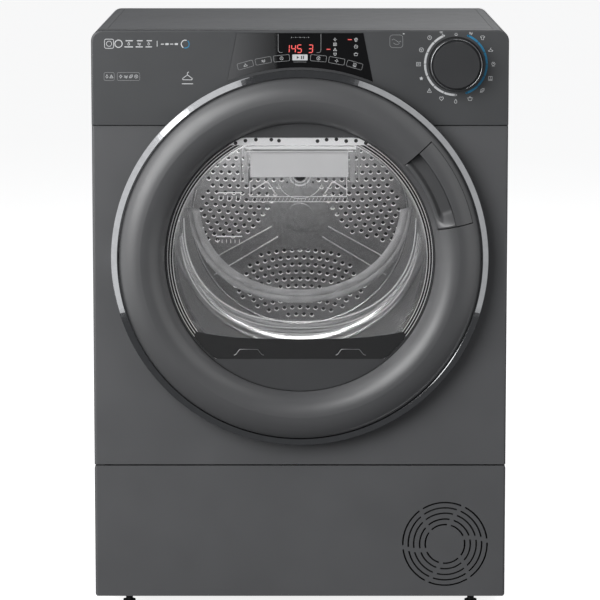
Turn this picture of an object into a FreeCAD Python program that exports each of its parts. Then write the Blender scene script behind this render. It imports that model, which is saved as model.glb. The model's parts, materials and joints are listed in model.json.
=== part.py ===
import FreeCAD, Part
import math
import os

import Sketcher
from FreeCAD import Placement, Rotation, Vector

# A free-standing heat pump clothes dryer. Millimetres, +Z up, the front faces -Y.
# The origin is on the floor, under the middle of the bounding box.

DIMENSIONS = {
    # cabinet
    "width": 596, "top_height": 850, "front_face": -262.5, "back_face": 290.5, "sheet": 1.5,
    "foot_height": 26, "kick_top": 219, "panel_bottom": 221, "panel_top": 713,
    "fascia_bottom": 714.5, "fascia_face": -265, "fascia_back": -240, "fascia_wall": 2.5,
    "top_frame_height": 38, "top_radius": 16, "flange_back": -240,
    "board_margin": 22, "board_thick": 6, "duct_back": 302.5,
    # drum, on an axis along Y
    "axis_height": 524, "drum_radius": 282, "drum_wall": 1.5, "lip_radius": 230,
    "drum_front": -170, "cone_end": -132, "rear_bend": 190, "drum_back": 236, "back_radius": 172,
    "shaft_radius": 10, "roller_radius": 30, "roller_offset": 179, "roller_front": -128,
    "roller_width": 22, "axle_radius": 5, "belt_front": 20, "belt_width": 9,
    # door, on the same axis
    "door_back": -268, "door_crest": -302.5, "glass_radius": 193.6, "ring_inner": 194,
    "crest_radius": 228, "ring_outer": 259.5, "trim_inner": 260.5, "trim_outer": 270.5,
    "ring_wall": 3, "hinge_x": 265.5, "hinge_y": -276, "pin_radius": 2, "throat_radius": 195,
    "collar_radius": 187, "porthole_radius": 228, "tank_radius": 180.5, "tank_wall": 2.5,
    # controls, grille, drives
    "dial_x": 222.3, "dial_z": 801.4, "dial_radius": 36, "grille_x": 210.8, "grille_z": 103.2,
    "motor_x": 175, "motor_z": 180, "pulley_radius": 14, "foot_x": 250, "foot_y": 232,
    "kick_hinge_y": -254.5, "kick_hinge_z": 30,
}

doc = FreeCAD.newDocument("ClothesDryer")
sheet = doc.addObject("Spreadsheet::Sheet", "Dims")
for row, (alias, size) in enumerate(DIMENSIONS.items(), start=1):
    sheet.set(f"A{row}", alias)
    sheet.set(f"B{row}", str(size))
    sheet.setAlias(f"B{row}", alias)
doc.recompute()


class Size:
    """A number together with the sheet expression that gives it."""

    def __init__(self, number, text):
        self.number = number
        self.text = text

    @staticmethod
    def of(other):
        return other if isinstance(other, Size) else Size(other, repr(other))

    def __add__(self, other):
        other = Size.of(other)
        return Size(self.number + other.number, f"({self.text} + {other.text})")

    def __sub__(self, other):
        other = Size.of(other)
        return Size(self.number - other.number, f"({self.text} - {other.text})")

    def __mul__(self, other):
        other = Size.of(other)
        return Size(self.number * other.number, f"({self.text} * {other.text})")

    def __truediv__(self, other):
        other = Size.of(other)
        return Size(self.number / other.number, f"({self.text} / {other.text})")

    def __neg__(self):
        return Size(-self.number, f"(0 - {self.text})")

    def __radd__(self, other):
        return Size.of(other) + self

    def __rsub__(self, other):
        return Size.of(other) - self

    def __rmul__(self, other):
        return Size.of(other) * self


class Dims:
    """Every cell of the sheet as a Size."""


dims = Dims()
for alias in DIMENSIONS:
    setattr(dims, alias, Size(float(sheet.get(alias)), f"Dims.{alias}"))

half_width = dims.width / 2
nodes = []


def number(value):
    return value.number if isinstance(value, Size) else value


def bind(obj, path, value):
    """Sets a property, and ties it to the sheet where the value comes from there."""
    if isinstance(value, Size):
        obj.setExpression(path, value.text)
    elif "." not in path:
        setattr(obj, path, value)
    else:
        obj.setExpression(path, repr(value))


def node(obj, label):
    """Marks a finished sub-part, which is written to a file of its own."""
    obj.Label = label
    nodes.append(obj)
    return obj


# ---------------------------------------------------------------- primitives and booleans

AXIS_TURN = {
    "x": Rotation(Vector(0, 1, 0), 90),
    "y": Rotation(Vector(1, 0, 0), -90),
    "z": Rotation(),
}


def place(obj, x, y, z, turn=None):
    obj.Placement = Placement(Vector(number(x), number(y), number(z)), turn or Rotation())
    for axis, value in (("x", x), ("y", y), ("z", z)):
        if isinstance(value, Size):
            obj.setExpression(f"Placement.Base.{axis}", value.text)
    return obj


def box(x0, x1, y0, y1, z0, z1):
    """A block between two corners."""
    obj = doc.addObject("Part::Box", "Block")
    for prop, low, high in (("Length", x0, x1), ("Width", y0, y1), ("Height", z0, z1)):
        bind(obj, prop, high - low)
    return place(obj, x0, y0, z0)


def rod(axis, x, y, z, radius, length):
    """A cylinder that starts at a point and runs along an axis."""
    obj = doc.addObject("Part::Cylinder", "Rod")
    bind(obj, "Radius", radius)
    bind(obj, "Height", length)
    return place(obj, x, y, z, AXIS_TURN[axis])


def cone(axis, x, y, z, radius_start, radius_end, length):
    obj = doc.addObject("Part::Cone", "Taper")
    bind(obj, "Radius1", radius_start)
    bind(obj, "Radius2", radius_end)
    bind(obj, "Height", length)
    return place(obj, x, y, z, AXIS_TURN[axis])


def fuse(*shapes):
    obj = doc.addObject("Part::MultiFuse", "Union")
    obj.Shapes = list(shapes)
    obj.Refine = True
    return obj


def cut(base, *tools):
    obj = doc.addObject("Part::Cut", "Difference")
    obj.Base = base
    obj.Tool = tools[0] if len(tools) == 1 else group(*tools)
    obj.Refine = True
    return obj


def common(first, second):
    obj = doc.addObject("Part::MultiCommon", "Overlap")
    obj.Shapes = [first, second]
    return obj


def group(*shapes):
    """Separate solids kept together as one sub-part."""
    obj = doc.addObject("Part::Compound", "Group")
    obj.Links = list(shapes)
    return obj


def rounded(base, radius, wanted):
    """Fillets the edges of a shape for which wanted(edge) is true."""
    doc.recompute()
    picked = [i for i, edge in enumerate(base.Shape.Edges, start=1) if wanted(edge)]
    obj = doc.addObject("Part::Fillet", "Rounding")
    obj.Base = base
    obj.Edges = [(i, number(radius), number(radius)) for i in picked]
    return obj


def edge_along(axis, *tests):
    """A test for straight edges along an axis whose middle passes the given tests."""
    direction = {"x": Vector(1, 0, 0), "y": Vector(0, 1, 0), "z": Vector(0, 0, 1)}[axis]

    def wanted(edge):
        if edge.Curve.TypeId != "Part::GeomLine":
            return False
        if edge.tangentAt(edge.FirstParameter).cross(direction).Length > 1e-6:
            return False
        middle = edge.CenterOfMass
        return all(test(middle) for test in tests)

    return wanted


# ---------------------------------------------------------------- sketched bodies

def arc_between(a, b, radius):
    """The shorter arc between two points; a positive radius bulges to the left of the way."""
    chord = b - a
    left = Vector(-chord.y, chord.x, 0).normalize()
    depth = math.sqrt(radius * radius - chord.Length ** 2 / 4)
    centre = (a + b) / 2 - left * math.copysign(depth, radius)
    start, end = (b, a) if radius > 0 else (a, b)
    angles = [math.atan2(p.y - centre.y, p.x - centre.x) for p in (start, end)]
    return Part.ArcOfCircle(Part.Circle(centre, Vector(0, 0, 1), abs(radius)), *angles)


def draw(sketch, corners):
    """A closed outline. A corner's third value makes the side after it an arc."""
    count = len(corners)
    first = sketch.GeometryCount
    points = [Vector(number(c[0]), number(c[1]), 0) for c in corners]
    ends = []
    for i, corner in enumerate(corners):
        a, b = points[i], points[(i + 1) % count]
        if len(corner) == 3:
            sketch.addGeometry(arc_between(a, b, number(corner[2])), False)
            ends.append((2, 1) if number(corner[2]) > 0 else (1, 2))
        else:
            sketch.addGeometry(Part.LineSegment(a, b), False)
            ends.append((1, 2))
    for i, corner in enumerate(corners):
        start = ends[i][0]
        before = (i - 1) % count
        sketch.addConstraint(Sketcher.Constraint("Coincident", first + before, ends[before][1],
                                                 first + i, start))
        for kind, value in (("DistanceX", corner[0]), ("DistanceY", corner[1])):
            fixed = Sketcher.Constraint(kind, -1, 1, first + i, start, float(number(value)))
            tie(sketch, fixed, value)
        if len(corner) == 3:
            size = corner[2] if number(corner[2]) > 0 else -Size.of(corner[2])
            tie(sketch, Sketcher.Constraint("Radius", first + i, float(number(size))), size)


def draw_circle(sketch, x, y, radius):
    index = sketch.addGeometry(
        Part.Circle(Vector(number(x), number(y), 0), Vector(0, 0, 1), number(radius)), False)
    tie(sketch, Sketcher.Constraint("DistanceX", -1, 1, index, 3, float(number(x))), x)
    tie(sketch, Sketcher.Constraint("DistanceY", -1, 1, index, 3, float(number(y))), y)
    tie(sketch, Sketcher.Constraint("Radius", index, float(number(radius))), radius)


def tie(sketch, constraint, value):
    index = sketch.addConstraint(constraint)
    if isinstance(value, Size):
        sketch.setExpression(f"Constraints[{index}]", value.text)


def new_sketch(body, role, offset=0):
    plane = next(f for f in body.Origin.OriginFeatures if f.Role == role)
    sketch = body.newObject("Sketcher::SketchObject", "Profile")
    sketch.AttachmentSupport = [(plane, "")]
    sketch.MapMode = "FlatFace"
    bind(sketch, "AttachmentOffset.Base.z", offset)
    return sketch


def turned(corners, x=0, z=0, y=0):
    """A body of revolution about Y: corners are (radius, y), z the height of the axis."""
    body = doc.addObject("PartDesign::Body", "Turned")
    sketch = new_sketch(body, "XY_Plane")
    draw(sketch, corners)
    spin = body.newObject("PartDesign::Revolution", "Spin")
    spin.Profile = sketch
    spin.ReferenceAxis = (sketch, ["V_Axis"])
    spin.Angle = 360
    return place(body, x, y, z)


def sheet_plate(y0, thickness, *loops):
    """A plate across Y from y0 backwards; a loop is corners (x, z) or a circle (x, z, r)."""
    body = doc.addObject("PartDesign::Body", "Plate")
    sketch = new_sketch(body, "XZ_Plane", -Size.of(y0))
    for loop in loops:
        if isinstance(loop, tuple):
            draw_circle(sketch, *loop)
        else:
            draw(sketch, loop)
    pad = body.newObject("PartDesign::Pad", "Thickness")
    pad.Profile = sketch
    bind(pad, "Length", thickness)
    pad.Reversed = True
    return body


def upright(z0, height, *loops):
    """A prism along Z from z0 upwards; a loop is corners (x, y) or a circle (x, y, r)."""
    body = doc.addObject("PartDesign::Body", "Prism")
    sketch = new_sketch(body, "XY_Plane", z0)
    for loop in loops:
        if isinstance(loop, tuple):
            draw_circle(sketch, *loop)
        else:
            draw(sketch, loop)
    pad = body.newObject("PartDesign::Pad", "Height")
    pad.Profile = sketch
    bind(pad, "Length", height)
    return body


def soft_rectangle(x0, x1, z0, z1, radius):
    """The outline of a rectangle with round corners."""
    return [
        (x0 + radius, z0), (x1 - radius, z0, -Size.of(radius)),
        (x1, z0 + radius), (x1, z1 - radius, -Size.of(radius)),
        (x1 - radius, z1), (x0 + radius, z1, -Size.of(radius)),
        (x0, z1 - radius), (x0, z0 + radius, -Size.of(radius)),
    ]


def rectangle(x0, x1, z0, z1):
    return [(x0, z0), (x1, z0), (x1, z1), (x0, z1)]


def polar(radius, degrees):
    return Vector(radius * math.cos(math.radians(degrees)), 0, radius * math.sin(math.radians(degrees)))


def arc_slot(x, z, y0, y1, inner, outer, start, end):
    """A solid between two radii and two angles (from +X towards +Z) about an axis along Y."""
    centre = Vector(x, y0, z)
    middle = (start + end) / 2
    edges = [
        Part.Arc(centre + polar(outer, start), centre + polar(outer, middle),
                 centre + polar(outer, end)).toShape(),
        Part.LineSegment(centre + polar(outer, end), centre + polar(inner, end)).toShape(),
        Part.Arc(centre + polar(inner, end), centre + polar(inner, middle),
                 centre + polar(inner, start)).toShape(),
        Part.LineSegment(centre + polar(inner, start), centre + polar(outer, start)).toShape(),
    ]
    return Part.Face(Part.Wire(edges)).extrude(Vector(0, y1 - y0, 0))


def feature(shape):
    """An object for a shape that no sketch or primitive makes; it is made in its place."""
    obj = doc.addObject("Part::Feature", "Formed")
    obj.Shape = Part.makeCompound([shape])
    obj.Placement = Placement()
    return obj


# ---------------------------------------------------------------- cabinet

def base_tray():
    wall, floor_top = 3, dims.foot_height + 4
    edge = half_width - 14
    outer = box(-edge, edge, -250, 287, dims.foot_height, 58)
    inner = box(-edge + wall, edge - wall, -247, 284, floor_top, 60)
    bosses, bores = [], []
    for sx in (-1, 1):
        for sy in (-1, 1):
            x, y = dims.foot_x * sx, dims.foot_y * sy
            bosses.append(rod("z", x, y, dims.foot_height, 12, 14))
            bores.append(rod("z", x, y, dims.foot_height - 1, 5.06, 40))
    ears, ear_bores = [], []
    for x in (-276, 270):
        ears.append(rod("x", x, dims.kick_hinge_y, dims.kick_hinge_z, 4.2, 6))
        ears.append(box(x, x + 6, dims.kick_hinge_y, -249, 28, 34.2))
        ear_bores.append(rod("x", x - 1, dims.kick_hinge_y, dims.kick_hinge_z, 2.55, 8))
    body = fuse(cut(outer, inner), *bosses, *ears)
    return node(cut(body, *bores, *ear_bores), "base_tray")


def feet():
    """Four levelling feet: a rubber pad with a threaded stud."""
    names = {(-1, -1): "foot_front_left", (1, -1): "foot_front_right",
             (-1, 1): "foot_rear_left", (1, 1): "foot_rear_right"}
    for (sx, sy), name in names.items():
        x, y = dims.foot_x * sx, dims.foot_y * sy
        pad = cone("z", x, y, 0, 22, 18, 9)
        nut = rod("z", x, y, 9, 9, 6)
        stud = rod("z", x, y, 15, 5, 24)
        node(fuse(pad, nut, stud), name)


def base_cover():
    """The lid and walls of the duct that holds both heat exchangers."""
    lid = box(-280, -28, -206, 200, 226, 229)
    partition = box(-31, -28, -206, 200, 30, 226)
    back = box(-280, -31, 197, 200, 30, 226)
    front = box(-280, -31, -206, -203, 30, 226)
    window = box(-266, -54, -207, -202, 68, 199)
    inlet = box(-270, -110, -190, -100, 225, 230)
    return node(cut(fuse(lid, partition, back, front), window, inlet), "base_cover")


def side_panels():
    """Pressed steel sides with an inward flange at the front and at the back."""
    bottom, top = dims.foot_height, dims.top_height - dims.top_frame_height - 0.5
    flange = 12
    for side, name in ((-1, "side_panel_left"), (1, "side_panel_right")):
        front, back = dims.flange_back + 1, dims.back_face - 1.7
        skin = half_width * side
        inner = skin - dims.sheet * side
        tip = skin - flange * side
        outline = [(skin, front), (skin, back), (tip, back), (tip, back - dims.sheet),
                   (inner, back - dims.sheet), (inner, front + dims.sheet),
                   (tip, front + dims.sheet), (tip, front)]
        node(upright(bottom, top - bottom, outline), name)


def rear_panel():
    """The back wall, with the hot air ring, the fan outlet and the hose recess."""
    y0 = dims.back_face - dims.sheet
    plate = sheet_plate(
        y0, dims.sheet,
        rectangle(-half_width + 2, half_width - 2, dims.foot_height + 34,
                  dims.top_height - dims.top_frame_height - 1),
        (dims.motor_x, dims.motor_z, 60), (-120, 90, 24))
    slots = [arc_slot(0, number(dims.axis_height), number(y0) - 1, number(dims.back_face) + 1,
                      95, 165, 60 * i + 6, 60 * i + 54) for i in range(6)]
    return node(cut(plate, feature(Part.makeCompound(slots))), "rear_panel")


def rear_duct_cover():
    """The shallow housing on the back that leads the hot air from the fan to the drum."""
    deep = dims.duct_back - dims.back_face
    disc = rod("y", 0, dims.back_face, dims.axis_height, 205, deep)
    leg = box(95, 255, dims.back_face, dims.duct_back, 100, dims.axis_height)
    hollow_disc = rod("y", 0, dims.back_face - 1, dims.axis_height, 202, deep - 1)
    hollow_leg = box(98, 252, dims.back_face - 1, dims.duct_back - 2, 103, dims.axis_height)
    return node(cut(fuse(disc, leg), hollow_disc, hollow_leg), "rear_duct_cover")


def top_frame():
    """The moulded rim that carries the top board."""
    low = dims.top_height - dims.top_frame_height
    front, back = dims.fascia_back + 0.5, dims.back_face
    block = box(-half_width, half_width, front, back, low, dims.top_height)
    soft = rounded(block, dims.top_radius, edge_along("y", lambda p: p.z > 840))
    edge = half_width - dims.board_margin
    pocket = box(-edge, edge, front + 6, back - 18, dims.top_height - dims.board_thick,
                 dims.top_height + 1)
    opening = box(-edge + 14, edge - 14, front + 20, back - 32, low - 1, dims.top_height)
    sinks = [rod("z", x, back - 9, dims.top_height - 2.3, 6, 4) for x in (-264, 264)]
    return node(cut(soft, pocket, opening, *sinks), "top_frame")


def top_board():
    edge = half_width - dims.board_margin - 0.5
    front, back = dims.fascia_back + 7, dims.back_face - 18.5
    return node(box(-edge, edge, front, back, dims.top_height - dims.board_thick,
                    dims.top_height), "top_board")


def cabinet_screws():
    """Pan head screws: two in the back of the top, the rest around the back panel."""
    heads = [cone("z", x, dims.back_face - 9, dims.top_height - 2.3, 4.5, 3, 2)
             for x in (-264, 264)]
    for x in (-286, 286):
        for z in (90, 330, 570, 790):
            heads.append(cone("y", x, dims.back_face, z, 4.5, 3, 2.5))
    return node(group(*heads), "cabinet_screws")


# ---------------------------------------------------------------- controls

def control_fascia():
    """The moulded front band that carries the controls, open at the back and below."""
    block = box(-half_width, half_width, dims.fascia_face, dims.fascia_back,
                dims.fascia_bottom, dims.top_height)
    soft = rounded(block, dims.top_radius, edge_along("y", lambda p: p.z > 840))
    soft = rounded(soft, 3, lambda edge: edge.CenterOfMass.y < -264.9
                   and edge.CenterOfMass.z > 720)
    wall = dims.fascia_wall
    hollow = box(-half_width + wall, half_width - wall, dims.fascia_face + wall,
                 dims.fascia_back + 1, dims.fascia_bottom - 1, dims.top_height - 16)
    porthole = rod("y", 0, dims.fascia_face - 1, dims.axis_height, dims.porthole_radius, 30)
    shaft_hole = rod("y", dims.dial_x, dims.fascia_face - 1, dims.dial_z, 4.08, 6)
    seat = sheet_plate(dims.fascia_face - 1, 2.1, lens_outline(0.4))
    return node(cut(soft, hollow, porthole, shaft_hole, seat), "control_fascia")


def lens_outline(grow):
    """The dark lens: straight above, and below an arc that follows the door ring."""
    top_z, half_top, half_low = 845.5, 90, 104
    reach = 273 - grow
    drop = math.sqrt(reach ** 2 - half_low ** 2)
    low_z = dims.axis_height + drop
    return [(-half_top - grow, top_z + grow), (-half_low - grow, low_z, reach),
            (half_low + grow, low_z), (half_top + grow, top_z + grow)]


def display_lens():
    return node(sheet_plate(dims.fascia_face - 0.4, 1.4, lens_outline(0)), "display_lens")


def program_dial():
    """The knob with its spindle; it turns endlessly in detents."""
    face, back = -24.5, -0.3
    radius = dims.dial_radius
    knob = turned([(0, face), (radius - 3.5, face, 4), (radius - 0.8, face + 3.2),
                   (radius, back - 2), (radius + 1.2, back - 2), (radius + 1.2, back),
                   (4, back), (4, 17), (0, 17)],
                  x=dims.dial_x, z=dims.dial_z, y=dims.fascia_face)
    return node(knob, "program_dial")


# ---------------------------------------------------------------- front

def pressed_front(z0, z1, radius):
    """A front sheet with side flanges and rounded bends, from z0 to z1."""
    face, back, wall = dims.front_face, dims.flange_back, dims.sheet
    inner = radius - 1.5
    right, left = half_width, -half_width
    outline = [(left, back), (left, face + radius, -Size.of(radius)), (left + radius, face),
               (right - radius, face, -Size.of(radius)), (right, face + radius), (right, back),
               (right - wall, back), (right - wall, face + radius, inner),
               (right - radius, face + wall), (left + radius, face + wall, inner),
               (left + wall, face + radius), (left + wall, back)]
    return upright(z0, z1 - z0, outline)


def front_panel():
    """The pressed front with its porthole, lock slot and side flanges."""
    face, axis = dims.front_face, dims.axis_height
    porthole = rod("y", 0, face - 1, axis, dims.porthole_radius, 4)
    slot = box(234, 244, face - 1, face + 3, axis - 12, axis + 12)
    sheet_metal = pressed_front(dims.panel_bottom, dims.panel_top, 4)
    return node(cut(sheet_metal, porthole, slot), "front_panel")


def front_bulkhead():
    """The plate behind the front: the throat, the felt seat and the lint filter shaft."""
    axis, throat = dims.axis_height, dims.throat_radius
    plate = box(-288, 288, -246, -243, 233, 806)
    tube = rod("y", 0, -246, axis, throat + 3, 49)
    step = rod("y", 0, -200, axis, 222, 42)
    shaft = box(-98, 98, -197, -173.5, 231, 340)
    body = fuse(plate, tube, step, shaft)
    opening = rod("y", 0, -247, axis, throat, 100)
    felt_seat = rod("y", 0, -197, axis, 219, 60)
    filter_space = box(-95, 95, -194, -175.5, 230, 345)
    return node(cut(body, opening, felt_seat, filter_space), "front_bulkhead")


def drum_front_felt():
    return node(turned([(222.2, -168), (229.6, -168), (229.6, -159), (222.2, -159)],
                       z=dims.axis_height), "drum_front_felt")


def door_seal():
    """The rubber lip around the throat that the closed door presses on."""
    return node(turned([(200, -246), (200, -261), (204, -265.4, 3), (208, -261), (212, -250),
                        (214, -246)], z=dims.axis_height), "door_seal")


def lint_filter():
    """The lint filter, a frame with a mesh on both sides and a finger tab."""
    frame = box(-91, 91, -191, -178.5, 240, 326)
    hollow = box(-86, 86, -189.5, -180, 244, 320)
    slots = [box(x, x + 9, -192, -177, 246, 318) for x in range(-84, 80, 12)]
    tab = box(-22, 22, -188, -181, 326, 331)
    return node(fuse(cut(frame, hollow, *slots), tab), "lint_filter")


def kick_panel():
    """The flap across the foot of the front, with the round slotted air grille."""
    low, high = dims.foot_height, dims.kick_top
    corner = 4
    outline = soft_rectangle(-half_width, half_width, low, high, Size.of(corner))
    front_view = sheet_plate(dims.front_face - 1, 40, outline)
    plate = common(pressed_front(low, high, 4), front_view)
    arms = []
    for sx in (-1, 1):
        x0 = 262 if sx > 0 else -268
        arms.append(box(x0, x0 + 6, dims.front_face + 1, dims.kick_hinge_y + 3, 27, 33))
        pin_start = 262 if sx > 0 else -277.5
        arms.append(rod("x", pin_start, dims.kick_hinge_y, dims.kick_hinge_z, 2.5, 15.5))
    slots = []
    bridges, bridge_width, slot_width = 6, 6, 2.3
    y0 = number(dims.front_face) - 1
    for ring, radius in enumerate((61.3, 53.4, 45.5, 36.9, 28.7)):
        half_bridge = math.degrees(bridge_width / 2 / radius)
        for k in range(bridges):
            middle = 4.65 + 3.45 * ring + 60 * k
            slots.append(arc_slot(number(dims.grille_x), number(dims.grille_z), y0, y0 + 5,
                                  radius - slot_width / 2, radius + slot_width / 2,
                                  middle + half_bridge, middle + 60 - half_bridge))
    panel = cut(plate, feature(Part.makeCompound(slots)))
    return node(fuse(panel, *arms), "kick_panel")


# ---------------------------------------------------------------- door

GRIP_START, GRIP_END = 12, 42.3


def crest_outline(inner, outer, low_inner, low_outer, crest):
    """The domed front of the ring: two arcs that meet level at the crest."""
    rise_in, rise_out = low_inner - crest, low_outer - crest
    half_in, half_out = dims.crest_radius - inner, outer - dims.crest_radius
    radius_in = (half_in * half_in + rise_in * rise_in) / (rise_in * 2)
    radius_out = (half_out * half_out + rise_out * rise_out) / (rise_out * 2)
    return [(inner, low_inner, -radius_in), (dims.crest_radius, crest, -radius_out),
            (outer, low_outer)]


def grip_opening(inner, outer, spread, y0, y1):
    """The part of the ring that the hand reaches through."""
    return feature(arc_slot(0, number(dims.axis_height), y0, y1, inner, outer,
                            GRIP_START - spread, GRIP_END + spread))


def ring_front(wall=0):
    """The front of the ring, or the surface that lies one wall inside it."""
    low_inner, low_outer = Size.of(-278), Size.of(-289)
    return crest_outline(dims.ring_inner + wall, dims.ring_outer - wall, low_inner + wall,
                         low_outer + wall, dims.door_crest + wall)


def door_ring_shell():
    wall = dims.ring_wall
    front, inside = ring_front(), ring_front(wall)
    (in_a, in_b, in_c) = inside
    back = dims.door_back
    outline = front + [(dims.ring_outer - 1.5, back), (dims.ring_outer - 1.5 - wall, back),
                       (in_c[0], in_c[1], -in_b[2]), (in_b[0], in_b[1], -in_a[2]),
                       (in_a[0], in_a[1]), (dims.ring_inner + wall, -271.5),
                       (dims.ring_inner, -271.5)]
    return turned(outline, z=dims.axis_height)


def door_ring():
    """The wide domed ring, a shell open at the back, with the grip cut out of it."""
    hinge_gap = box(-262, -250, -280, -266, dims.axis_height - 34, dims.axis_height + 34)
    return node(cut(door_ring_shell(), grip_opening(201, 252.4, 0, -310, -260), hinge_gap),
                "door_ring")


def door_handle():
    """The bar in the ring that the fingers pull, flush with the ring's dome."""
    bar = grip_opening(228.4, 251.8, -0.35, -310, -291.5)
    solid_ring = turned(ring_front() + [(dims.ring_outer, -270), (dims.ring_inner, -270)],
                        z=dims.axis_height)
    return node(common(solid_ring, bar), "door_handle")


def grip_cup():
    """The tub behind the grip that closes the ring's inside off."""
    wall = 2.2
    inside = ring_front(dims.ring_wall + 0.1)
    behind = turned(inside + [(inside[2][0], dims.door_back - 2.5),
                              (inside[0][0], dims.door_back - 2.5)], z=dims.axis_height)
    outer = grip_opening(201 - wall, 252.4 + wall, 0.7, -310, -260)
    inner = grip_opening(201, 252.4, 0, -311, -272.5)
    return node(common(behind, cut(outer, inner)), "grip_cup")


def door_chrome_ring():
    return node(turned([(dims.trim_inner, -291), (dims.trim_inner + 2, -292.5, -6),
                        (dims.trim_outer, -286), (dims.trim_outer, -281),
                        (dims.trim_inner, -281)], z=dims.axis_height), "door_chrome_ring")


def door_glass():
    radius = dims.glass_radius
    return node(turned([(0, -277), (radius - 1, -277), (radius, -276), (radius, -273), (0, -273)],
                       z=dims.axis_height), "door_glass")


def window_mask():
    """The opaque mask behind the glass, with the clear window in it."""
    reach, top, bottom = 188, 173, -147
    side_top = math.sqrt(reach ** 2 - top ** 2)
    side_low = math.sqrt(reach ** 2 - bottom ** 2)
    axis = dims.axis_height
    window = [(-side_low, axis + bottom), (side_low, axis + bottom, -reach),
              (side_top, axis + top), (-side_top, axis + top, -reach)]
    return node(sheet_plate(-272.8, 1, (0, axis, dims.glass_radius - 0.4), window), "window_mask")


def door_inner_frame():
    """The back plate of the door, with the collar that enters the throat."""
    back, radius = dims.door_back, dims.collar_radius
    return node(turned([(radius - 4.5, back), (256, back), (256, back + 2), (radius, back + 2),
                        (radius - 0.5, -214), (radius - 4.5, -214)], z=dims.axis_height),
                "door_inner_frame")


def door_hinge_arm():
    """Two knuckles on the hinge pin, and the plate that carries the door."""
    axis, x, y = dims.axis_height, -dims.hinge_x, dims.hinge_y
    reach, height, leaf = 26, 14, 1.6
    starts = (axis - reach, axis + reach - height)
    knuckles = [rod("z", x, y, z0, 3.4, height) for z0 in starts]
    plates = [box(x, -240, y - leaf, y + leaf, z0, z0 + height) for z0 in starts]
    web = box(-257, -240, y - leaf, y + leaf, axis - reach, axis + reach)
    foot = box(-248, -240, y, dims.door_back, axis - reach, axis + reach)
    bores = rod("z", x, y, axis - reach - 1, dims.pin_radius + 0.05, 2 * reach + 2)
    return node(cut(fuse(*knuckles, *plates, web, foot), bores), "door_hinge_arm")


def hinge_bracket():
    """The bracket on the front panel, with one lug between the knuckles."""
    axis, x, half, barrel = dims.axis_height, -dims.hinge_x, 11, 3
    plate = box(x - barrel, x + 9.5, dims.front_face - 2, dims.front_face, axis - 29, axis + 29)
    lug = box(x - 1.2, x + barrel, dims.hinge_y, dims.front_face - 1, axis - half, axis + half)
    eye = rod("z", x, dims.hinge_y, axis - half, barrel, 2 * half)
    bore = rod("z", x, dims.hinge_y, axis - half - 1, dims.pin_radius, 2 * half + 2)
    return node(cut(fuse(plate, lug, eye), bore), "hinge_bracket")


def hinge_pin():
    reach = 27
    return node(rod("z", -dims.hinge_x, dims.hinge_y, dims.axis_height - reach, dims.pin_radius,
                    2 * reach), "hinge_pin")


def door_latch_hook():
    axis, back = dims.axis_height, dims.door_back + 2
    stem = box(236, 242, back, -249, axis - 8, axis + 8)
    notch = box(235, 239, -256, -252, axis - 9, axis + 9)
    return node(cut(stem, notch), "door_latch_hook")


def door_lock():
    """The lock behind the front panel, with a mouth for the hook."""
    axis = dims.axis_height
    case = box(230, 262, dims.front_face + 1.5, -246, axis - 30, axis + 30)
    mouth = box(234, 244, -262, -247.5, axis - 12, axis + 12)
    return node(cut(case, mouth), "door_lock")


def water_container():
    """The clear container that fills the door and domes into the drum's mouth."""
    radius, wall = dims.tank_radius, dims.tank_wall
    front, apex, rise = -270.8, -205, 20

    def domed(reach, face, tip):
        dome = (reach * reach + rise * rise) / (2 * rise)
        return turned([(0, face), (reach, face), (reach, tip - rise, -dome), (0, tip)],
                      z=dims.axis_height)

    skin = domed(radius, front, apex)
    space = domed(radius - wall, front + wall, apex - wall)
    axis = dims.axis_height
    filler = box(-45, 45, -262, -232, axis + 160, axis + 190)
    return node(cut(skin, space, filler), "water_container")


def container_funnel():
    """The pale trough in the container that the pumped water runs into."""
    axis = dims.axis_height
    trough = box(-71, 69, -267.8, -228, axis + 116, axis + 152)
    hollow = box(-68, 66, -264.5, -231, axis + 120, axis + 153)
    lip = box(-64, 62, -268, -267.8, axis + 120, axis + 148)
    return node(fuse(cut(trough, hollow), lip), "container_funnel")


# ---------------------------------------------------------------- drum

def drum_shell():
    """The steel drum wall: front lip, cone, barrel with beads and a dished rear."""
    wall = dims.drum_wall
    lip, barrel, back = dims.lip_radius, dims.drum_radius, dims.back_radius
    front, cone_end, bend, rear = dims.drum_front, dims.cone_end, dims.rear_bend, dims.drum_back
    outer = [(lip, front), (lip + wall, front), (lip + wall, front + 16),
             (barrel, cone_end), (barrel, bend, -60), (barrel - 40, bend + 38),
             (back, rear)]
    inner = [(back, rear - wall), (barrel - 41, bend + 36.4, 58.5), (barrel - wall, bend),
             (barrel - wall, cone_end + 1), (lip, front + 17)]
    outline = [(a[0], a[1], -Size.of(-a[2])) if len(a) == 3 else a for a in outer] + inner
    return node(turned(outline, z=dims.axis_height), "drum_shell")


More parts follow.
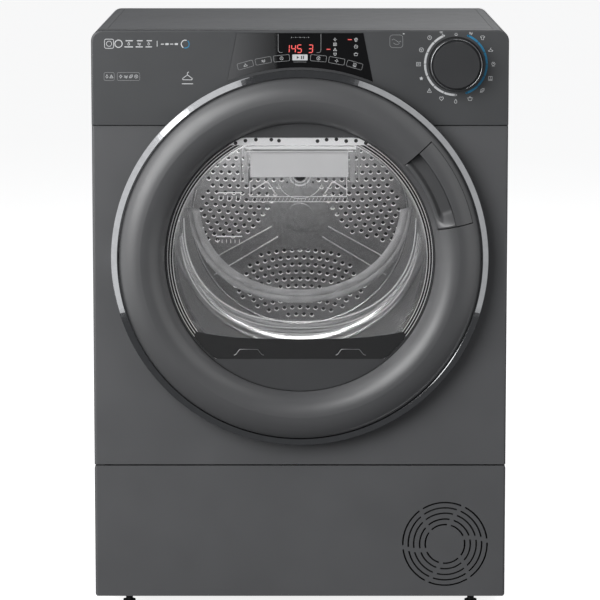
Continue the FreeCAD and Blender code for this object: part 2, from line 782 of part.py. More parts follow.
def drum_back():
    """The rear disc, perforated in three sectors between the lifter ribs."""
    axis, thick = number(dims.axis_height), number(dims.drum_wall)
    radius, y0 = number(dims.back_radius), number(dims.drum_back)
    hole_radius, pitch, row_gap, sweep = 2.7, 12.4, 11.4, 240
    circle = Part.Wire(Part.makeCircle(radius - 0.2, Vector(0, y0, axis), Vector(0, 1, 0)))
    holes = []
    for sector in (90 - 60, 90 + 60, 90 + 180):
        along, across = polar(1, sector), polar(1, sector + 90)
        for row in range(10):
            distance = 52 + row_gap * row
            for step in range(-12, 13):
                turn = pitch * (step + 0.5 * (row % 2)) / sweep
                spot = along * (distance + sweep * (1 - math.cos(turn))) + across * (
                    sweep * math.sin(turn))
                off = abs(math.degrees(math.atan2(spot.dot(across), spot.dot(along))))
                if off < 47 and spot.Length < radius - 14:
                    centre = Vector(0, y0, axis) + spot
                    holes.append(Part.Wire(Part.makeCircle(hole_radius, centre, Vector(0, 1, 0))))
    face = Part.makeFace([circle] + holes, "Part::FaceMakerBullseye")
    disc = face.extrude(Vector(0, -thick, 0))
    hub = Part.makeCone(34, 24, 10, Vector(0, y0, axis), Vector(0, 1, 0))
    bore = Part.makeCylinder(number(dims.shaft_radius), 30, Vector(0, y0 - 10, axis), Vector(0, 1, 0))
    return node(feature(disc.fuse(hub).cut(bore)), "drum_back")


def drum_lifters():
    """Three hollow-looking ribs along the barrel that carry the laundry up."""
    foot, crown, low, high = 34, 12, 228, 279.5
    ribs = []
    for degrees in (90, 210, 330):
        across = polar(1, degrees + 90)
        along = polar(1, degrees)
        start, end = Vector(0, -112, number(dims.axis_height)), Vector(0, 178, 0)
        corners = [(-foot, high - 4), (-crown, low + 6), (-crown * 0.5, low), (crown * 0.5, low),
                   (crown, low + 6), (foot, high - 4)]
        points = [start + across * a + along * b for a, b in corners]
        wire = Part.makePolygon(points + [points[0]])
        ribs.append(Part.Face(wire).extrude(Vector(0, end.y - start.y, 0)))
    return node(feature(Part.makeCompound(ribs)), "drum_lifters")


def drum_shaft():
    axis = dims.axis_height
    shaft = rod("y", 0, dims.drum_back - 4, axis, dims.shaft_radius, 53.5)
    cap = rod("y", 0, dims.drum_back - 5, axis, 22, 3.5)
    return node(fuse(shaft, cap), "drum_shaft")


def rear_bearing():
    axis, back = dims.axis_height, dims.back_face - dims.sheet
    flange = rod("y", 0, back - 3, axis, 60, 3)
    hub = rod("y", 0, 258, axis, 22, back - 259)
    bore = rod("y", 0, 255, axis, dims.shaft_radius + 0.05, 32.5)
    return node(cut(fuse(flange, hub), bore), "rear_bearing")


def support_rollers():
    """Two rollers under the front of the barrel, on axles in the bulkhead."""
    drop = dims.axis_height - 255.9
    axles = []
    for side, name in ((-1, "support_roller_left"), (1, "support_roller_right")):
        x = dims.roller_offset * side
        tyre = rod("y", x, dims.roller_front, drop, dims.roller_radius, dims.roller_width)
        groove = cut(rod("y", x, dims.roller_front - 1, drop, 24, 5),
                     rod("y", x, dims.roller_front - 2, drop, 10, 8))
        bore = rod("y", x, dims.roller_front - 1, drop, dims.axle_radius + 0.05, 40)
        node(cut(tyre, groove, bore), name)
        axles.append(rod("y", x, -243, drop, dims.axle_radius, 142))
        axles.append(rod("y", x, -135, drop, 9, 5))
    pairs = [fuse(axles[0], axles[1]), fuse(axles[2], axles[3])]
    return node(group(*pairs), "roller_axles")


# ---------------------------------------------------------------- drives

def drive_belt():
    """A flat belt around the barrel and the motor pulley."""
    slack, thick = 0.35, 1.8
    drum, motor = Vector(0, 0, number(dims.axis_height)), Vector(
        number(dims.motor_x), 0, number(dims.motor_z))

    def loop(extra):
        big = number(dims.drum_radius) + slack + extra
        small = number(dims.pulley_radius) + slack + extra
        way = motor - drum
        heading = math.degrees(math.atan2(way.z, way.x))
        spread = math.degrees(math.acos((big - small) / way.Length))
        a, b = heading + spread, heading - spread
        edges = [
            Part.Arc(drum + polar(big, a), drum + polar(big, heading + 180),
                     drum + polar(big, b)).toShape(),
            Part.LineSegment(drum + polar(big, b), motor + polar(small, b)).toShape(),
            Part.Arc(motor + polar(small, b), motor + polar(small, heading),
                     motor + polar(small, a)).toShape(),
            Part.LineSegment(motor + polar(small, a), drum + polar(big, a)).toShape(),
        ]
        return Part.Wire(edges)

    face = Part.makeFace([loop(thick), loop(0)], "Part::FaceMakerBullseye")
    belt = face.extrude(Vector(0, number(dims.belt_width), 0))
    belt.translate(Vector(0, number(dims.belt_front), 0))
    return node(feature(belt), "drive_belt")


def motor_body():
    """The motor on its bracket, with the pivot pin of the idler arm."""
    x, z = dims.motor_x, dims.motor_z
    case = rod("y", x, 54, z, 44, 116)
    nose = rod("y", x, 48, z, 16, 130)
    legs = box(x - 40, x + 40, 60, 160, 30, z - 20)
    gap = box(x - 30, x + 30, 59, 161, 29, z - 46)
    bracket = box(100, 132, 50, 56, 30, 150)
    pivot = rod("y", 118, 32, 128, 5, 20)
    shaft_bore = rod("y", x, 40, z, 6.06, 150)
    tie_bar = box(100, x, 56, 60, 120, 150)
    return node(cut(fuse(case, nose, cut(legs, gap), bracket, pivot, tie_bar), shaft_bore),
                "motor_body")


def motor_rotor():
    """The motor shaft with the belt pulley on its front end."""
    x, z = dims.motor_x, dims.motor_z
    shaft = rod("y", x, 14, z, 6, 266)
    pulley = rod("y", x, 18, z, dims.pulley_radius, 13)
    cheeks = [rod("y", x, y, z, dims.pulley_radius + 4, 2) for y in (16, 31)]
    return node(fuse(shaft, pulley, *cheeks), "motor_rotor")


def process_fan_wheel():
    """A radial wheel on the rear end of the motor shaft."""
    x, z = dims.motor_x, dims.motor_z
    blades = []
    for i in range(24):
        blade = Part.makeBox(16, 26, 1.6, Vector(50, 249, -0.8))
        blade.rotate(Vector(50, 249, 0), Vector(0, 1, 0), 35)
        blade.rotate(Vector(0, 0, 0), Vector(0, 1, 0), 15 * i)
        blade.translate(Vector(number(x), 0, number(z)))
        blades.append(blade)
    ring = cut(rod("y", x, 248, z, 68, 2), rod("y", x, 247, z, 48, 4))
    disc = rod("y", x, 273, z, 68, 3)
    hub = cone("y", x, 255, z, 12, 24, 18)
    bore = rod("y", x, 250, z, 6, 30)
    return node(cut(fuse(disc, ring, hub, feature(Part.makeCompound(blades))), bore),
                "process_fan_wheel")


def fan_scroll():
    x, z = dims.motor_x, dims.motor_z
    outer = rod("y", x, 242, z, 84, 43)
    inner = rod("y", x, 245, z, 81, 41)
    intake = rod("y", x, 240, z, 44, 6)
    stand = box(x - 50, x + 50, 246, 282, 30, z - 60)
    stand_gap = box(x - 46, x + 46, 245, 283, 29, z - 60)
    return node(cut(fuse(outer, stand), inner, intake, stand_gap), "fan_scroll")


IDLER_X, IDLER_Z = 103.9, 169.6


def idler_arm():
    """The sprung arm that keeps the belt tight, pivoted on the motor bracket."""
    ends = [rod("y", 118, 33, 128, 9, 6), rod("y", IDLER_X, 33, IDLER_Z, 7, 6)]
    length = math.hypot(IDLER_X - 118, IDLER_Z - 128)
    bar = Part.makeBox(10, 6, length, Vector(-5, 33, 0))
    bar.rotate(Vector(0, 0, 0), Vector(0, 1, 0), math.degrees(math.atan2(IDLER_X - 118, IDLER_Z - 128)))
    bar.translate(Vector(118, 0, 128))
    axle = rod("y", IDLER_X, 17, IDLER_Z, 4, 18)
    bore = rod("y", 118, 31, 128, 5.06, 10)
    return node(cut(fuse(*ends, feature(bar), axle), bore), "idler_arm")


def idler_pulley():
    tyre = rod("y", IDLER_X, 18.5, IDLER_Z, 15, 12)
    bore = rod("y", IDLER_X, 17, IDLER_Z, 4.06, 16)
    return node(cut(tyre, bore), "idler_pulley")


# ---------------------------------------------------------------- heat pump and services

def compressor():
    x, y = 112, -112
    pot = rounded(rod("z", x, y, 56, 60, 142), 22, lambda edge: edge.Curve.TypeId == "Part::GeomCircle")
    foot = box(x - 66, x + 66, y - 46, y + 46, 50, 58)
    posts = [rod("z", x + sx * 54, y + sy * 36, 30, 8, 22) for sx in (-1, 1) for sy in (-1, 1)]
    return node(fuse(pot, foot, *posts), "compressor")


def coil(label, y0, y1):
    """A finned heat exchanger: a block cut into fins across the air flow."""
    block = Part.makeBox(206, y1 - y0, 150, Vector(-264, y0, 62))
    gaps = [Part.makeBox(7, y1 - y0 - 6, 152, Vector(-258 + 10 * i, y0 - 1, 66)) for i in range(20)]
    return node(feature(block.cut(Part.makeCompound(gaps))), label)


def heat_exchangers():
    coil("evaporator", -196, -116)
    return coil("condenser", -96, 60)


def exchanger_cover():
    """The lid in front of the heat exchangers, which pulls out forwards."""
    lid = box(-274, -46, -213, -206.2, 60, 207)
    plug = cut(box(-264, -56, -206.2, -199, 70, 197), box(-261, -59, -207, -198, 73, 194))
    grip = cut(box(-200, -120, -219, -213, 176, 192), box(-196, -124, -216.5, -212, 175, 189))
    return node(fuse(lid, plug, grip), "exchanger_cover")


def bent_tube(points, radius, bend):
    """A tube through the points, with a round bend at each inner one."""
    edges, last = [], points[0]
    for before, corner, after in zip(points, points[1:], points[2:]):
        into, out = (corner - before).normalize(), (after - corner).normalize()
        half = into.getAngle(out) / 2
        trim = bend * math.tan(half)
        start, end = corner - into * trim, corner + out * trim
        inward = (out - into).normalize()
        middle = corner + inward * (bend / math.cos(half) - bend)
        edges += [Part.LineSegment(last, start).toShape(), Part.Arc(start, middle, end).toShape()]
        last = end
    edges.append(Part.LineSegment(last, points[-1]).toShape())
    path = Part.Wire(edges)
    way = (points[1] - points[0]).normalize()
    section = Part.Wire(Part.makeCircle(radius, points[0], way))
    return path.makePipeShell([section], True, False)


def refrigerant_pipes():
    """The pipes between the compressor and the heat exchangers."""
    suction = bent_tube([Vector(62, -80, 212), Vector(-8, -80, 212), Vector(-8, -80, 150),
                         Vector(-27.8, -80, 150)], 4, 7)
    delivery = bent_tube([Vector(60, -50, 120), Vector(0, -50, 120), Vector(0, 20, 120),
                          Vector(-27.8, 20, 120)], 4, 12)
    return node(feature(Part.makeCompound([suction, delivery])), "refrigerant_pipes")


def cooling_fan():
    """The axial fan behind the grille: a square frame and its wheel."""
    x, z = dims.grille_x, dims.grille_z
    frame = box(x - 62, x + 62, -238, -216, z - 62, z + 62)
    legs = [box(x + dx, x + dx + 10, -238, -216, 30, z - 58) for dx in (-60, 14)]
    tunnel = rod("y", x, -239, z, 56, 24)
    stay = box(x - 57, x + 57, -219, -216, z - 5, z + 5)
    spindle = rod("y", x, -236, z, 4, 18)
    node(fuse(cut(fuse(frame, *legs), tunnel), stay, spindle), "cooling_fan_frame")
    blades = []
    for i in range(7):
        blade = Part.makeBox(34, 1.8, 26, Vector(17, -0.9, -13))
        blade.rotate(Vector(17, 0, 0), Vector(1, 0, 0), 32)
        blade.rotate(Vector(0, 0, 0), Vector(0, 1, 0), i * 360 / 7)
        blade.translate(Vector(number(x), -228.5, number(z)))
        blades.append(blade)
    hub = rod("y", x, -235, z, 20, 14)
    bore = rod("y", x, -237, z, 4.06, 20)
    return node(cut(fuse(hub, *[feature(blade) for blade in blades]), bore), "cooling_fan_wheel")


def drain_spigot():
    """The spigot for a drain hose, in a recess of the back."""
    flange = rod("y", -120, 271, 90, 20, 6)
    tube = rod("y", -120, 277, 90, 10, 25)
    stem = box(-128, -112, 262, 272, 30, 90)
    bore = rod("y", -120, 265, 90, 7, 40)
    return node(cut(fuse(flange, tube, stem), bore), "drain_spigot")


def mains_inlet():
    """The terminal box on the back with the empty gland for the mains lead."""
    case = rounded(box(-262, -196, dims.back_face, dims.back_face + 10, 120, 180), 3,
                   edge_along("y"))
    gland = rod("x", -270, dims.back_face + 5, 150, 4.6, 8)
    bore = rod("x", -272, dims.back_face + 5, 150, 3, 13)
    return node(cut(fuse(case, gland), bore), "mains_inlet")


BUILDERS = [
    base_tray, feet, base_cover, side_panels, rear_panel, rear_duct_cover, top_frame, top_board,
    cabinet_screws, control_fascia, display_lens, program_dial, front_panel, front_bulkhead,
    drum_front_felt, door_seal, lint_filter, kick_panel, door_ring, door_handle, grip_cup,
    door_chrome_ring, door_glass, window_mask, door_inner_frame, door_hinge_arm, hinge_bracket,
    hinge_pin, door_latch_hook, door_lock, water_container, container_funnel, drum_shell,
    drum_back, drum_lifters, drum_shaft, rear_bearing, support_rollers, drive_belt, motor_body,
    motor_rotor, process_fan_wheel, fan_scroll, idler_arm, idler_pulley, compressor,
    heat_exchangers, exchanger_cover, refrigerant_pipes, cooling_fan, drain_spigot, mains_inlet,
]


def main():
    for build in BUILDERS:
        build()
    doc.recompute()
    faults = [f"{obj.Label}: {obj.State}" for obj in doc.Objects
              if "Invalid" in obj.State or "Error" in obj.State]
    faults += [f"{obj.Label}: bad shape" for obj in nodes
               if obj.Shape.isNull() or not obj.Shape.isValid() or not obj.Shape.Solids]
    if faults:
        raise SystemExit("\n".join(faults))
    os.makedirs("parts", exist_ok=True)
    for obj in nodes:
        obj.Shape.exportStep(f"parts/{obj.Label}.step")
        print(f"{obj.Label}: {len(obj.Shape.Solids)} solid(s), {obj.Shape.Volume / 1000:.1f} cm3")
    print(len(nodes), "nodes")


main()
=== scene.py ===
import json
import math

import bmesh
import bpy
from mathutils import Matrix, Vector


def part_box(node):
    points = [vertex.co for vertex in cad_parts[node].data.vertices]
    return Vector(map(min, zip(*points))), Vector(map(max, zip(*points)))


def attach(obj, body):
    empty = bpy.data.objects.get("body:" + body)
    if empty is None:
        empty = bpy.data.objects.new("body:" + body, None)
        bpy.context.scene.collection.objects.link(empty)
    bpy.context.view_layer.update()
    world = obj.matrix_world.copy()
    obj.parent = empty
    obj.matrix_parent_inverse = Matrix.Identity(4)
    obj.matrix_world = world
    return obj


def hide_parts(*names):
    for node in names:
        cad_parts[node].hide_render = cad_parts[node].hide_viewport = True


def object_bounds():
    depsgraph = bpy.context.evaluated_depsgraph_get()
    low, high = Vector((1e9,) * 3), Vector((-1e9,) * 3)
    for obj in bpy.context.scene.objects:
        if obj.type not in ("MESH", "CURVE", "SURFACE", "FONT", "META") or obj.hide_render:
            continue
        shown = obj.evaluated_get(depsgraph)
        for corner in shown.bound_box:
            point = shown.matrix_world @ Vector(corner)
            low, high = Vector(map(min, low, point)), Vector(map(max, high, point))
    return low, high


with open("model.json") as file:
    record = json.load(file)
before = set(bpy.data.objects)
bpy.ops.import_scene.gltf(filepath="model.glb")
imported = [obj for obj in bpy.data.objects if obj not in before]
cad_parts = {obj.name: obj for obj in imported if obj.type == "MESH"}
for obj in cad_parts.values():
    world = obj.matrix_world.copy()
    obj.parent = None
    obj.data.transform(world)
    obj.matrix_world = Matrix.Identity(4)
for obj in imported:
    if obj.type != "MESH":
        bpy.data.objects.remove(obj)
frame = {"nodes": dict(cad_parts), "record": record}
cad_low, cad_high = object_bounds()
nodes = frame["nodes"]


# ---------------------------------------------------------------- material helpers

class Nodes:
    """A material's node tree, with short calls for the nodes used below."""

    def __init__(self, name):
        self.material = bpy.data.materials.new(name)
        self.material.use_nodes = True
        self.tree = self.material.node_tree
        self.shader = self.tree.nodes["Principled BSDF"]
        self.output = self.tree.nodes["Material Output"]
        self.place = self.tree.nodes.new("ShaderNodeTexCoord").outputs["Object"]

    def add(self, kind, **inputs):
        item = self.tree.nodes.new(kind)
        for key, value in inputs.items():
            socket = item.inputs[key.replace("_", " ")]
            if isinstance(value, bpy.types.NodeSocket):
                self.tree.links.new(value, socket)
            else:
                socket.default_value = value
        return item

    def link(self, output, socket):
        self.tree.links.new(output, socket)

    def noise(self, size, detail=3.0, roughness=0.55):
        """Noise whose lumps are about size metres."""
        item = self.add("ShaderNodeTexNoise", Vector=self.place, Scale=1.0 / size,
                        Detail=detail, Roughness=roughness)
        return item.outputs["Fac"]

    def ramp(self, factor, stops):
        item = self.add("ShaderNodeValToRGB", Fac=factor)
        ramp = item.color_ramp
        while len(ramp.elements) < len(stops):
            ramp.elements.new(0.5)
        for element, (position, colour) in zip(ramp.elements, stops):
            element.position = position
            element.color = (*colour, 1.0)
        return item.outputs["Color"]

    def scale_range(self, factor, low, high, from_low=0.0, from_high=1.0):
        item = self.add("ShaderNodeMapRange", Value=factor)
        for key, value in (("From Min", from_low), ("From Max", from_high),
                           ("To Min", low), ("To Max", high)):
            item.inputs[key].default_value = value
        return item.outputs["Result"]

    def bump(self, height, distance):
        """A normal from a height map whose full relief is distance metres."""
        item = self.add("ShaderNodeBump", Height=height, Distance=distance, Strength=1.0)
        return item.outputs["Normal"]

    def set(self, **values):
        for key, value in values.items():
            self.shader.inputs[key.replace("_", " ")].default_value = value


def tint(colour, factor):
    return tuple(min(1.0, channel * factor) for channel in colour)


def coated_sheet(name, colour, roughness=0.42, grain=0.0009, depth=0.00002, spread=0.06):
    """Painted metal or moulded plastic: fine texture, faint mottling, uneven gloss."""
    n = Nodes(name)
    broad = n.noise(0.11, 2.0)
    n.link(n.ramp(broad, [(0.3, tint(colour, 1 - spread)), (0.7, tint(colour, 1 + spread))]),
           n.shader.inputs["Base Color"])
    fine = n.noise(grain, 2.0)
    n.link(n.scale_range(n.noise(0.02, 4.0), roughness - 0.05, roughness + 0.05),
           n.shader.inputs["Roughness"])
    n.link(n.bump(fine, depth), n.shader.inputs["Normal"])
    return n.material


def metal(name, colour, roughness, grain=0.003, depth=0.000004, spread=0.08):
    """Bare metal with a fine grain that also varies its gloss."""
    n = Nodes(name)
    n.set(Metallic=1.0)
    cloud = n.noise(grain, 4.0, 0.6)
    n.link(n.ramp(cloud, [(0.25, tint(colour, 1 - spread)), (0.75, tint(colour, 1 + spread))]),
           n.shader.inputs["Base Color"])
    n.link(n.scale_range(cloud, roughness * 0.8, roughness * 1.25), n.shader.inputs["Roughness"])
    n.link(n.bump(cloud, depth), n.shader.inputs["Normal"])
    return n.material


def clear(name, colour, reflection=1.0, roughness=0.02, ripple=0.00005):
    """Thin clear sheet: light passes straight through, and the surface reflects at an angle."""
    n = Nodes(name)
    n.tree.nodes.remove(n.shader)
    wave = n.bump(n.noise(0.05, 2.0), ripple)
    see = n.add("ShaderNodeBsdfTransparent", Color=(*colour, 1.0))
    shine = n.add("ShaderNodeBsdfGlossy", Color=(1, 1, 1, 1), Roughness=roughness, Normal=wave)
    facing = n.add("ShaderNodeLayerWeight", Blend=0.5, Normal=wave).outputs["Facing"]
    edge = n.add("ShaderNodeMath", Value=facing)
    edge.operation = "POWER"
    edge.inputs[1].default_value = 5.0
    amount = n.scale_range(edge.outputs["Value"], 0.04 * reflection, min(1.0, reflection))
    mix = n.add("ShaderNodeMixShader", Fac=amount)
    n.link(see.outputs["BSDF"], mix.inputs[1])
    n.link(shine.outputs["BSDF"], mix.inputs[2])
    n.link(mix.outputs["Shader"], n.output.inputs["Surface"])
    return n.material


def painted_glint(name, colour, cover):
    """Painted highlight on clear plastic: a pale sheet, partly see-through, in place of the light the
    plastic catches.
    """
    n = Nodes(name)
    n.set(Base_Color=(*colour, 1.0), Roughness=0.22)
    see = n.add("ShaderNodeBsdfTransparent", Color=(1, 1, 1, 1))
    amount = n.scale_range(n.noise(0.03, 3.0), cover - 0.16, cover + 0.16)
    mix = n.add("ShaderNodeMixShader", Fac=amount)
    n.link(see.outputs["BSDF"], mix.inputs[1])
    n.link(n.shader.outputs["BSDF"], mix.inputs[2])
    n.link(mix.outputs["Shader"], n.output.inputs["Surface"])
    return n.material


def ring_material(name, colour, roughness):
    """The ring's satin plastic: as the sheet, with a stronger surface reflection."""
    material = coated_sheet(name, colour, roughness)
    material.node_tree.nodes["Principled BSDF"].inputs["Specular IOR Level"].default_value = 0.8
    return material


def lens_material(name):
    """Black gloss that fades to the console's grey towards its left end."""
    n = Nodes(name)
    across = n.add("ShaderNodeSeparateXYZ", Vector=n.place).outputs["X"]
    dither = n.scale_range(n.noise(0.0012, 1.0), -0.004, 0.004)
    place = n.add("ShaderNodeMath", Value=across)
    n.link(dither, place.inputs[1])
    fade = n.scale_range(place.outputs["Value"], 0.0, 1.0, -0.098, -0.030)
    n.link(n.ramp(fade, [(0.0, (0.070, 0.071, 0.074)), (0.45, (0.045, 0.046, 0.048)),
                         (0.93, (0.020, 0.0205, 0.021)), (0.97, (0.0035, 0.0035, 0.004))]),
           n.shader.inputs["Base Color"])
    n.link(n.ramp(fade, [(0.0, (0.42,) * 3), (0.9, (0.3,) * 3), (0.97, (0.16,) * 3)]),
           n.shader.inputs["Roughness"])
    n.link(n.bump(n.noise(0.012, 2.0), 0.000002), n.shader.inputs["Normal"])
    return n.material


def ink(name, colour, glow=0.0):
    """Printed ink, a little uneven in cover and gloss; glow is for a lit display."""
    n = Nodes(name)
    cover = n.noise(0.0014, 3.0)
    n.link(n.ramp(cover, [(0.3, tint(colour, 0.86)), (0.7, tint(colour, 1.06))]),
           n.shader.inputs["Base Color"])
    n.link(n.scale_range(cover, 0.35, 0.6), n.shader.inputs["Roughness"])
    n.link(n.bump(cover, 0.00001), n.shader.inputs["Normal"])
    if glow:
        n.set(Emission_Color=(*colour, 1.0), Emission_Strength=glow)
    return n.material


GREY = (0.093, 0.0945, 0.0985)
MATERIALS = {
    "side_paint": coated_sheet("side_paint", GREY, 0.45),
    "front_paint": coated_sheet("front_paint", GREY, 0.45),
    "kick_plastic": coated_sheet("kick_plastic", GREY, 0.45),
    "zinc_sheet": metal("zinc_sheet", (0.55, 0.56, 0.57), 0.38, 0.02),
    "duct_plastic": coated_sheet("duct_plastic", (0.07, 0.072, 0.075), 0.5, 0.002, 0.00004),
    "top_plastic": coated_sheet("top_plastic", (0.110, 0.113, 0.119), 0.5),
    "top_laminate": coated_sheet("top_laminate", (0.110, 0.113, 0.119), 0.45, 0.0006),
    "fascia_plastic": coated_sheet("fascia_plastic", (0.064, 0.066, 0.069), 0.38),
    "lens_black": lens_material("lens_black"),
    "dial_plastic": coated_sheet("dial_plastic", (0.034, 0.035, 0.037), 0.4),
    "ring_plastic": ring_material("ring_plastic", (0.076, 0.077, 0.080), 0.36),
    "chrome_trim": metal("chrome_trim", (0.34, 0.345, 0.355), 0.08, 0.01, 0.000001),
    "clear_glass": clear("clear_glass", (0.985, 0.985, 0.985)),
    "mask_dark": coated_sheet("mask_dark", (0.058, 0.059, 0.062), 0.4),
    "black_plastic": coated_sheet("black_plastic", (0.006, 0.006, 0.0065), 0.5),
    "clear_plastic": clear("clear_plastic", (0.98, 0.98, 0.98), 0.9, 0.06),
    "pale_plastic": coated_sheet("pale_plastic", (0.84, 0.84, 0.85), 0.35),
    "drum_steel": metal("drum_steel", (0.60, 0.60, 0.605), 0.30, 0.004),
    # a darker copy of the drum steel: painted shade on the rear disc and shaft
    "drum_back_shaded_steel": metal("drum_back_shaded_steel", (0.33, 0.33, 0.335), 0.36, 0.004),
    "lifter_plastic": coated_sheet("lifter_plastic", (0.3, 0.31, 0.32), 0.4),
    "steel": metal("steel", (0.55, 0.55, 0.56), 0.3),
    "roller_plastic": coated_sheet("roller_plastic", (0.4, 0.41, 0.42), 0.45),
    "rubber": coated_sheet("rubber", (0.02, 0.02, 0.021), 0.7, 0.001, 0.00006),
    "felt": coated_sheet("felt", (0.55, 0.52, 0.46), 0.95, 0.0008, 0.0004),
    "compressor_paint": coated_sheet("compressor_paint", (0.012, 0.012, 0.013), 0.3),
    "fins": metal("fins", (0.7, 0.72, 0.74), 0.35),
    "copper": metal("copper", (0.75, 0.36, 0.2), 0.28),
}
WHITE_INK = ink("white_ink", (0.62, 0.63, 0.64))
DIM_INK = ink("dim_ink", (0.30, 0.305, 0.31))
BLUE_INK = ink("blue_ink", (0.022, 0.21, 0.39))
# dark print, and also the painted shadow in the gap round the knob
DARK_PRINT_AND_SHADE = ink("dark_print_and_shade", (0.006, 0.006, 0.007))
RED_LIGHT = ink("red_light", (0.75, 0.10, 0.09), 0.55)
# pale paint for the highlights painted on the lips of the drum's holes
HOLE_HIGHLIGHT = coated_sheet("hole_highlight_paint", (0.93, 0.93, 0.94), 0.3)
# the pale, partly see-through sheet that paints highlights on the clear container
PAINTED_GLINT = painted_glint("painted_glint", (0.92, 0.92, 0.93), 0.36)

for part in frame["record"]["subparts"]:
    target = nodes[part["node"]]
    target.data.materials.clear()
    target.data.materials.append(MATERIALS[part["material_slot"]])
# the rear disc and shaft take the darker steel, which paints shade on them
for name in ("drum_back", "drum_shaft"):
    nodes[name].data.materials[0] = MATERIALS["drum_back_shaded_steel"]


# ---------------------------------------------------------------- printed marks and keys, and a painted shadow round the knob

MM = 0.001


def add_mesh(name, mesh, body, material, slot):
    """An object for a finished mesh, riding one of the frame's bodies."""
    mesh.materials.append(material)
    obj = bpy.data.objects.new(name, mesh)
    bpy.context.collection.objects.link(obj)
    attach(obj, body)
    return obj


def piece(name, mesh_data, body, material, slot=None):
    """An object from mesh data that is still being edited."""
    mesh = bpy.data.meshes.new(name)
    mesh_data.to_mesh(mesh)
    mesh_data.free()
    return add_mesh(name, mesh, body, material, slot)


class Marks:
    """Flat marks on a front surface, in millimetres of x and z, as thin closed solids."""

    def __init__(self, front, thickness=0.08):
        self.mesh = bmesh.new()
        self.front, self.back = (front - thickness) * MM, front * MM

    def solid(self, loops):
        """Vertices for each loop of points, at the front and then again at the back."""
        return [[self.mesh.verts.new((x * MM, y, z * MM)) for x, z in loop]
                for y in (self.front, self.back) for loop in loops]

    def fill(self, points):
        front, back = self.solid([points])
        self.mesh.faces.new(front)
        self.mesh.faces.new(back[::-1])
        count = len(points)
        for i in range(count):
            j = (i + 1) % count
            self.mesh.faces.new((front[j], front[i], back[i], back[j]))

    def line(self, points, width, closed=False):
        """A stroke of even width along the points; a corner reaches at most one width out."""
        points = [Vector(p) for p in points]
        count = len(points)
        left, right = [], []
        for i, point in enumerate(points):
            ways = []
            if closed or i > 0:
                ways.append((point - points[i - 1]).normalized())
            if closed or i < count - 1:
                ways.append((points[(i + 1) % count] - point).normalized())
            middle = sum(ways, Vector((0, 0))).normalized()
            side = Vector((-middle.y, middle.x))
            square = Vector((-ways[0].y, ways[0].x))
            reach = width / 2 / max(0.5, side.dot(square))
            left.append(point + side * reach)
            right.append(point - side * reach)
        front_l, front_r, back_l, back_r = self.solid([left, right])
        faces = self.mesh.faces
        for i in range(count if closed else count - 1):
            j = (i + 1) % count
            faces.new((front_l[i], front_r[i], front_r[j], front_l[j]))
            faces.new((back_l[j], back_r[j], back_r[i], back_l[i]))
            faces.new((front_l[j], back_l[j], back_l[i], front_l[i]))
            faces.new((front_r[i], back_r[i], back_r[j], front_r[j]))
        if not closed:
            faces.new((front_l[0], back_l[0], back_r[0], front_r[0]))
            faces.new((front_l[-1], front_r[-1], back_r[-1], back_l[-1]))

    def arc(self, x, z, radius, start, end, width):
        """A stroke round a centre, with angles in degrees clockwise from the top."""
        steps = max(2, int(abs(end - start) / 3))
        self.line([around(x, z, radius, start + (end - start) * i / steps)
                   for i in range(steps + 1)], width)

    def circle(self, x, z, radius, width):
        self.line([around(x, z, radius, -7.5 * i) for i in range(48)], width, closed=True)

    def dot(self, x, z, radius):
        self.fill([around(x, z, radius, -15 * i) for i in range(24)])

    def soft_box(self, x, z, wide, high, radius, width=None, turn=0.0):
        """A rectangle with round corners, outlined or (without a width) filled."""
        corners = []
        for sx, sz, first in ((1, 1, 90), (-1, 1, 0), (-1, -1, -90), (1, -1, -180)):
            cx, cz = sx * (wide / 2 - radius), sz * (high / 2 - radius)
            corners += [around(cx, cz, radius, first - 18 * i) for i in range(6)]
        points = [moved(p, x, z, 1, turn) for p in corners]
        if width:
            self.line(points, width, closed=True)
        else:
            self.fill(points)

    def icon(self, name, x, z, size, width=0.5, turn=0.0):
        for kind, points in ICONS[name]:
            places = [moved(p, x, z, size, turn) for p in points]
            if kind == "fill":
                self.fill(places)
            else:
                self.line(places, width, closed=kind == "loop")

    def done(self, name, body, material, slot=None):
        bmesh.ops.recalc_face_normals(self.mesh, faces=self.mesh.faces)
        return piece(name, self.mesh, body, material, slot)


def around(x, z, radius, degrees):
    """A point at an angle clockwise from the top."""
    turn = math.radians(degrees)
    return (x + radius * math.sin(turn), z + radius * math.cos(turn))


def moved(point, x, z, size, turn):
    """A point scaled, turned clockwise and shifted."""
    c, s = math.cos(math.radians(turn)), math.sin(math.radians(turn))
    return (x + size * (point[0] * c + point[1] * s), z + size * (point[1] * c - point[0] * s))


def ring_points(x, z, radius, count=16):
    return [around(x, z, radius, -360 / count * i) for i in range(count)]


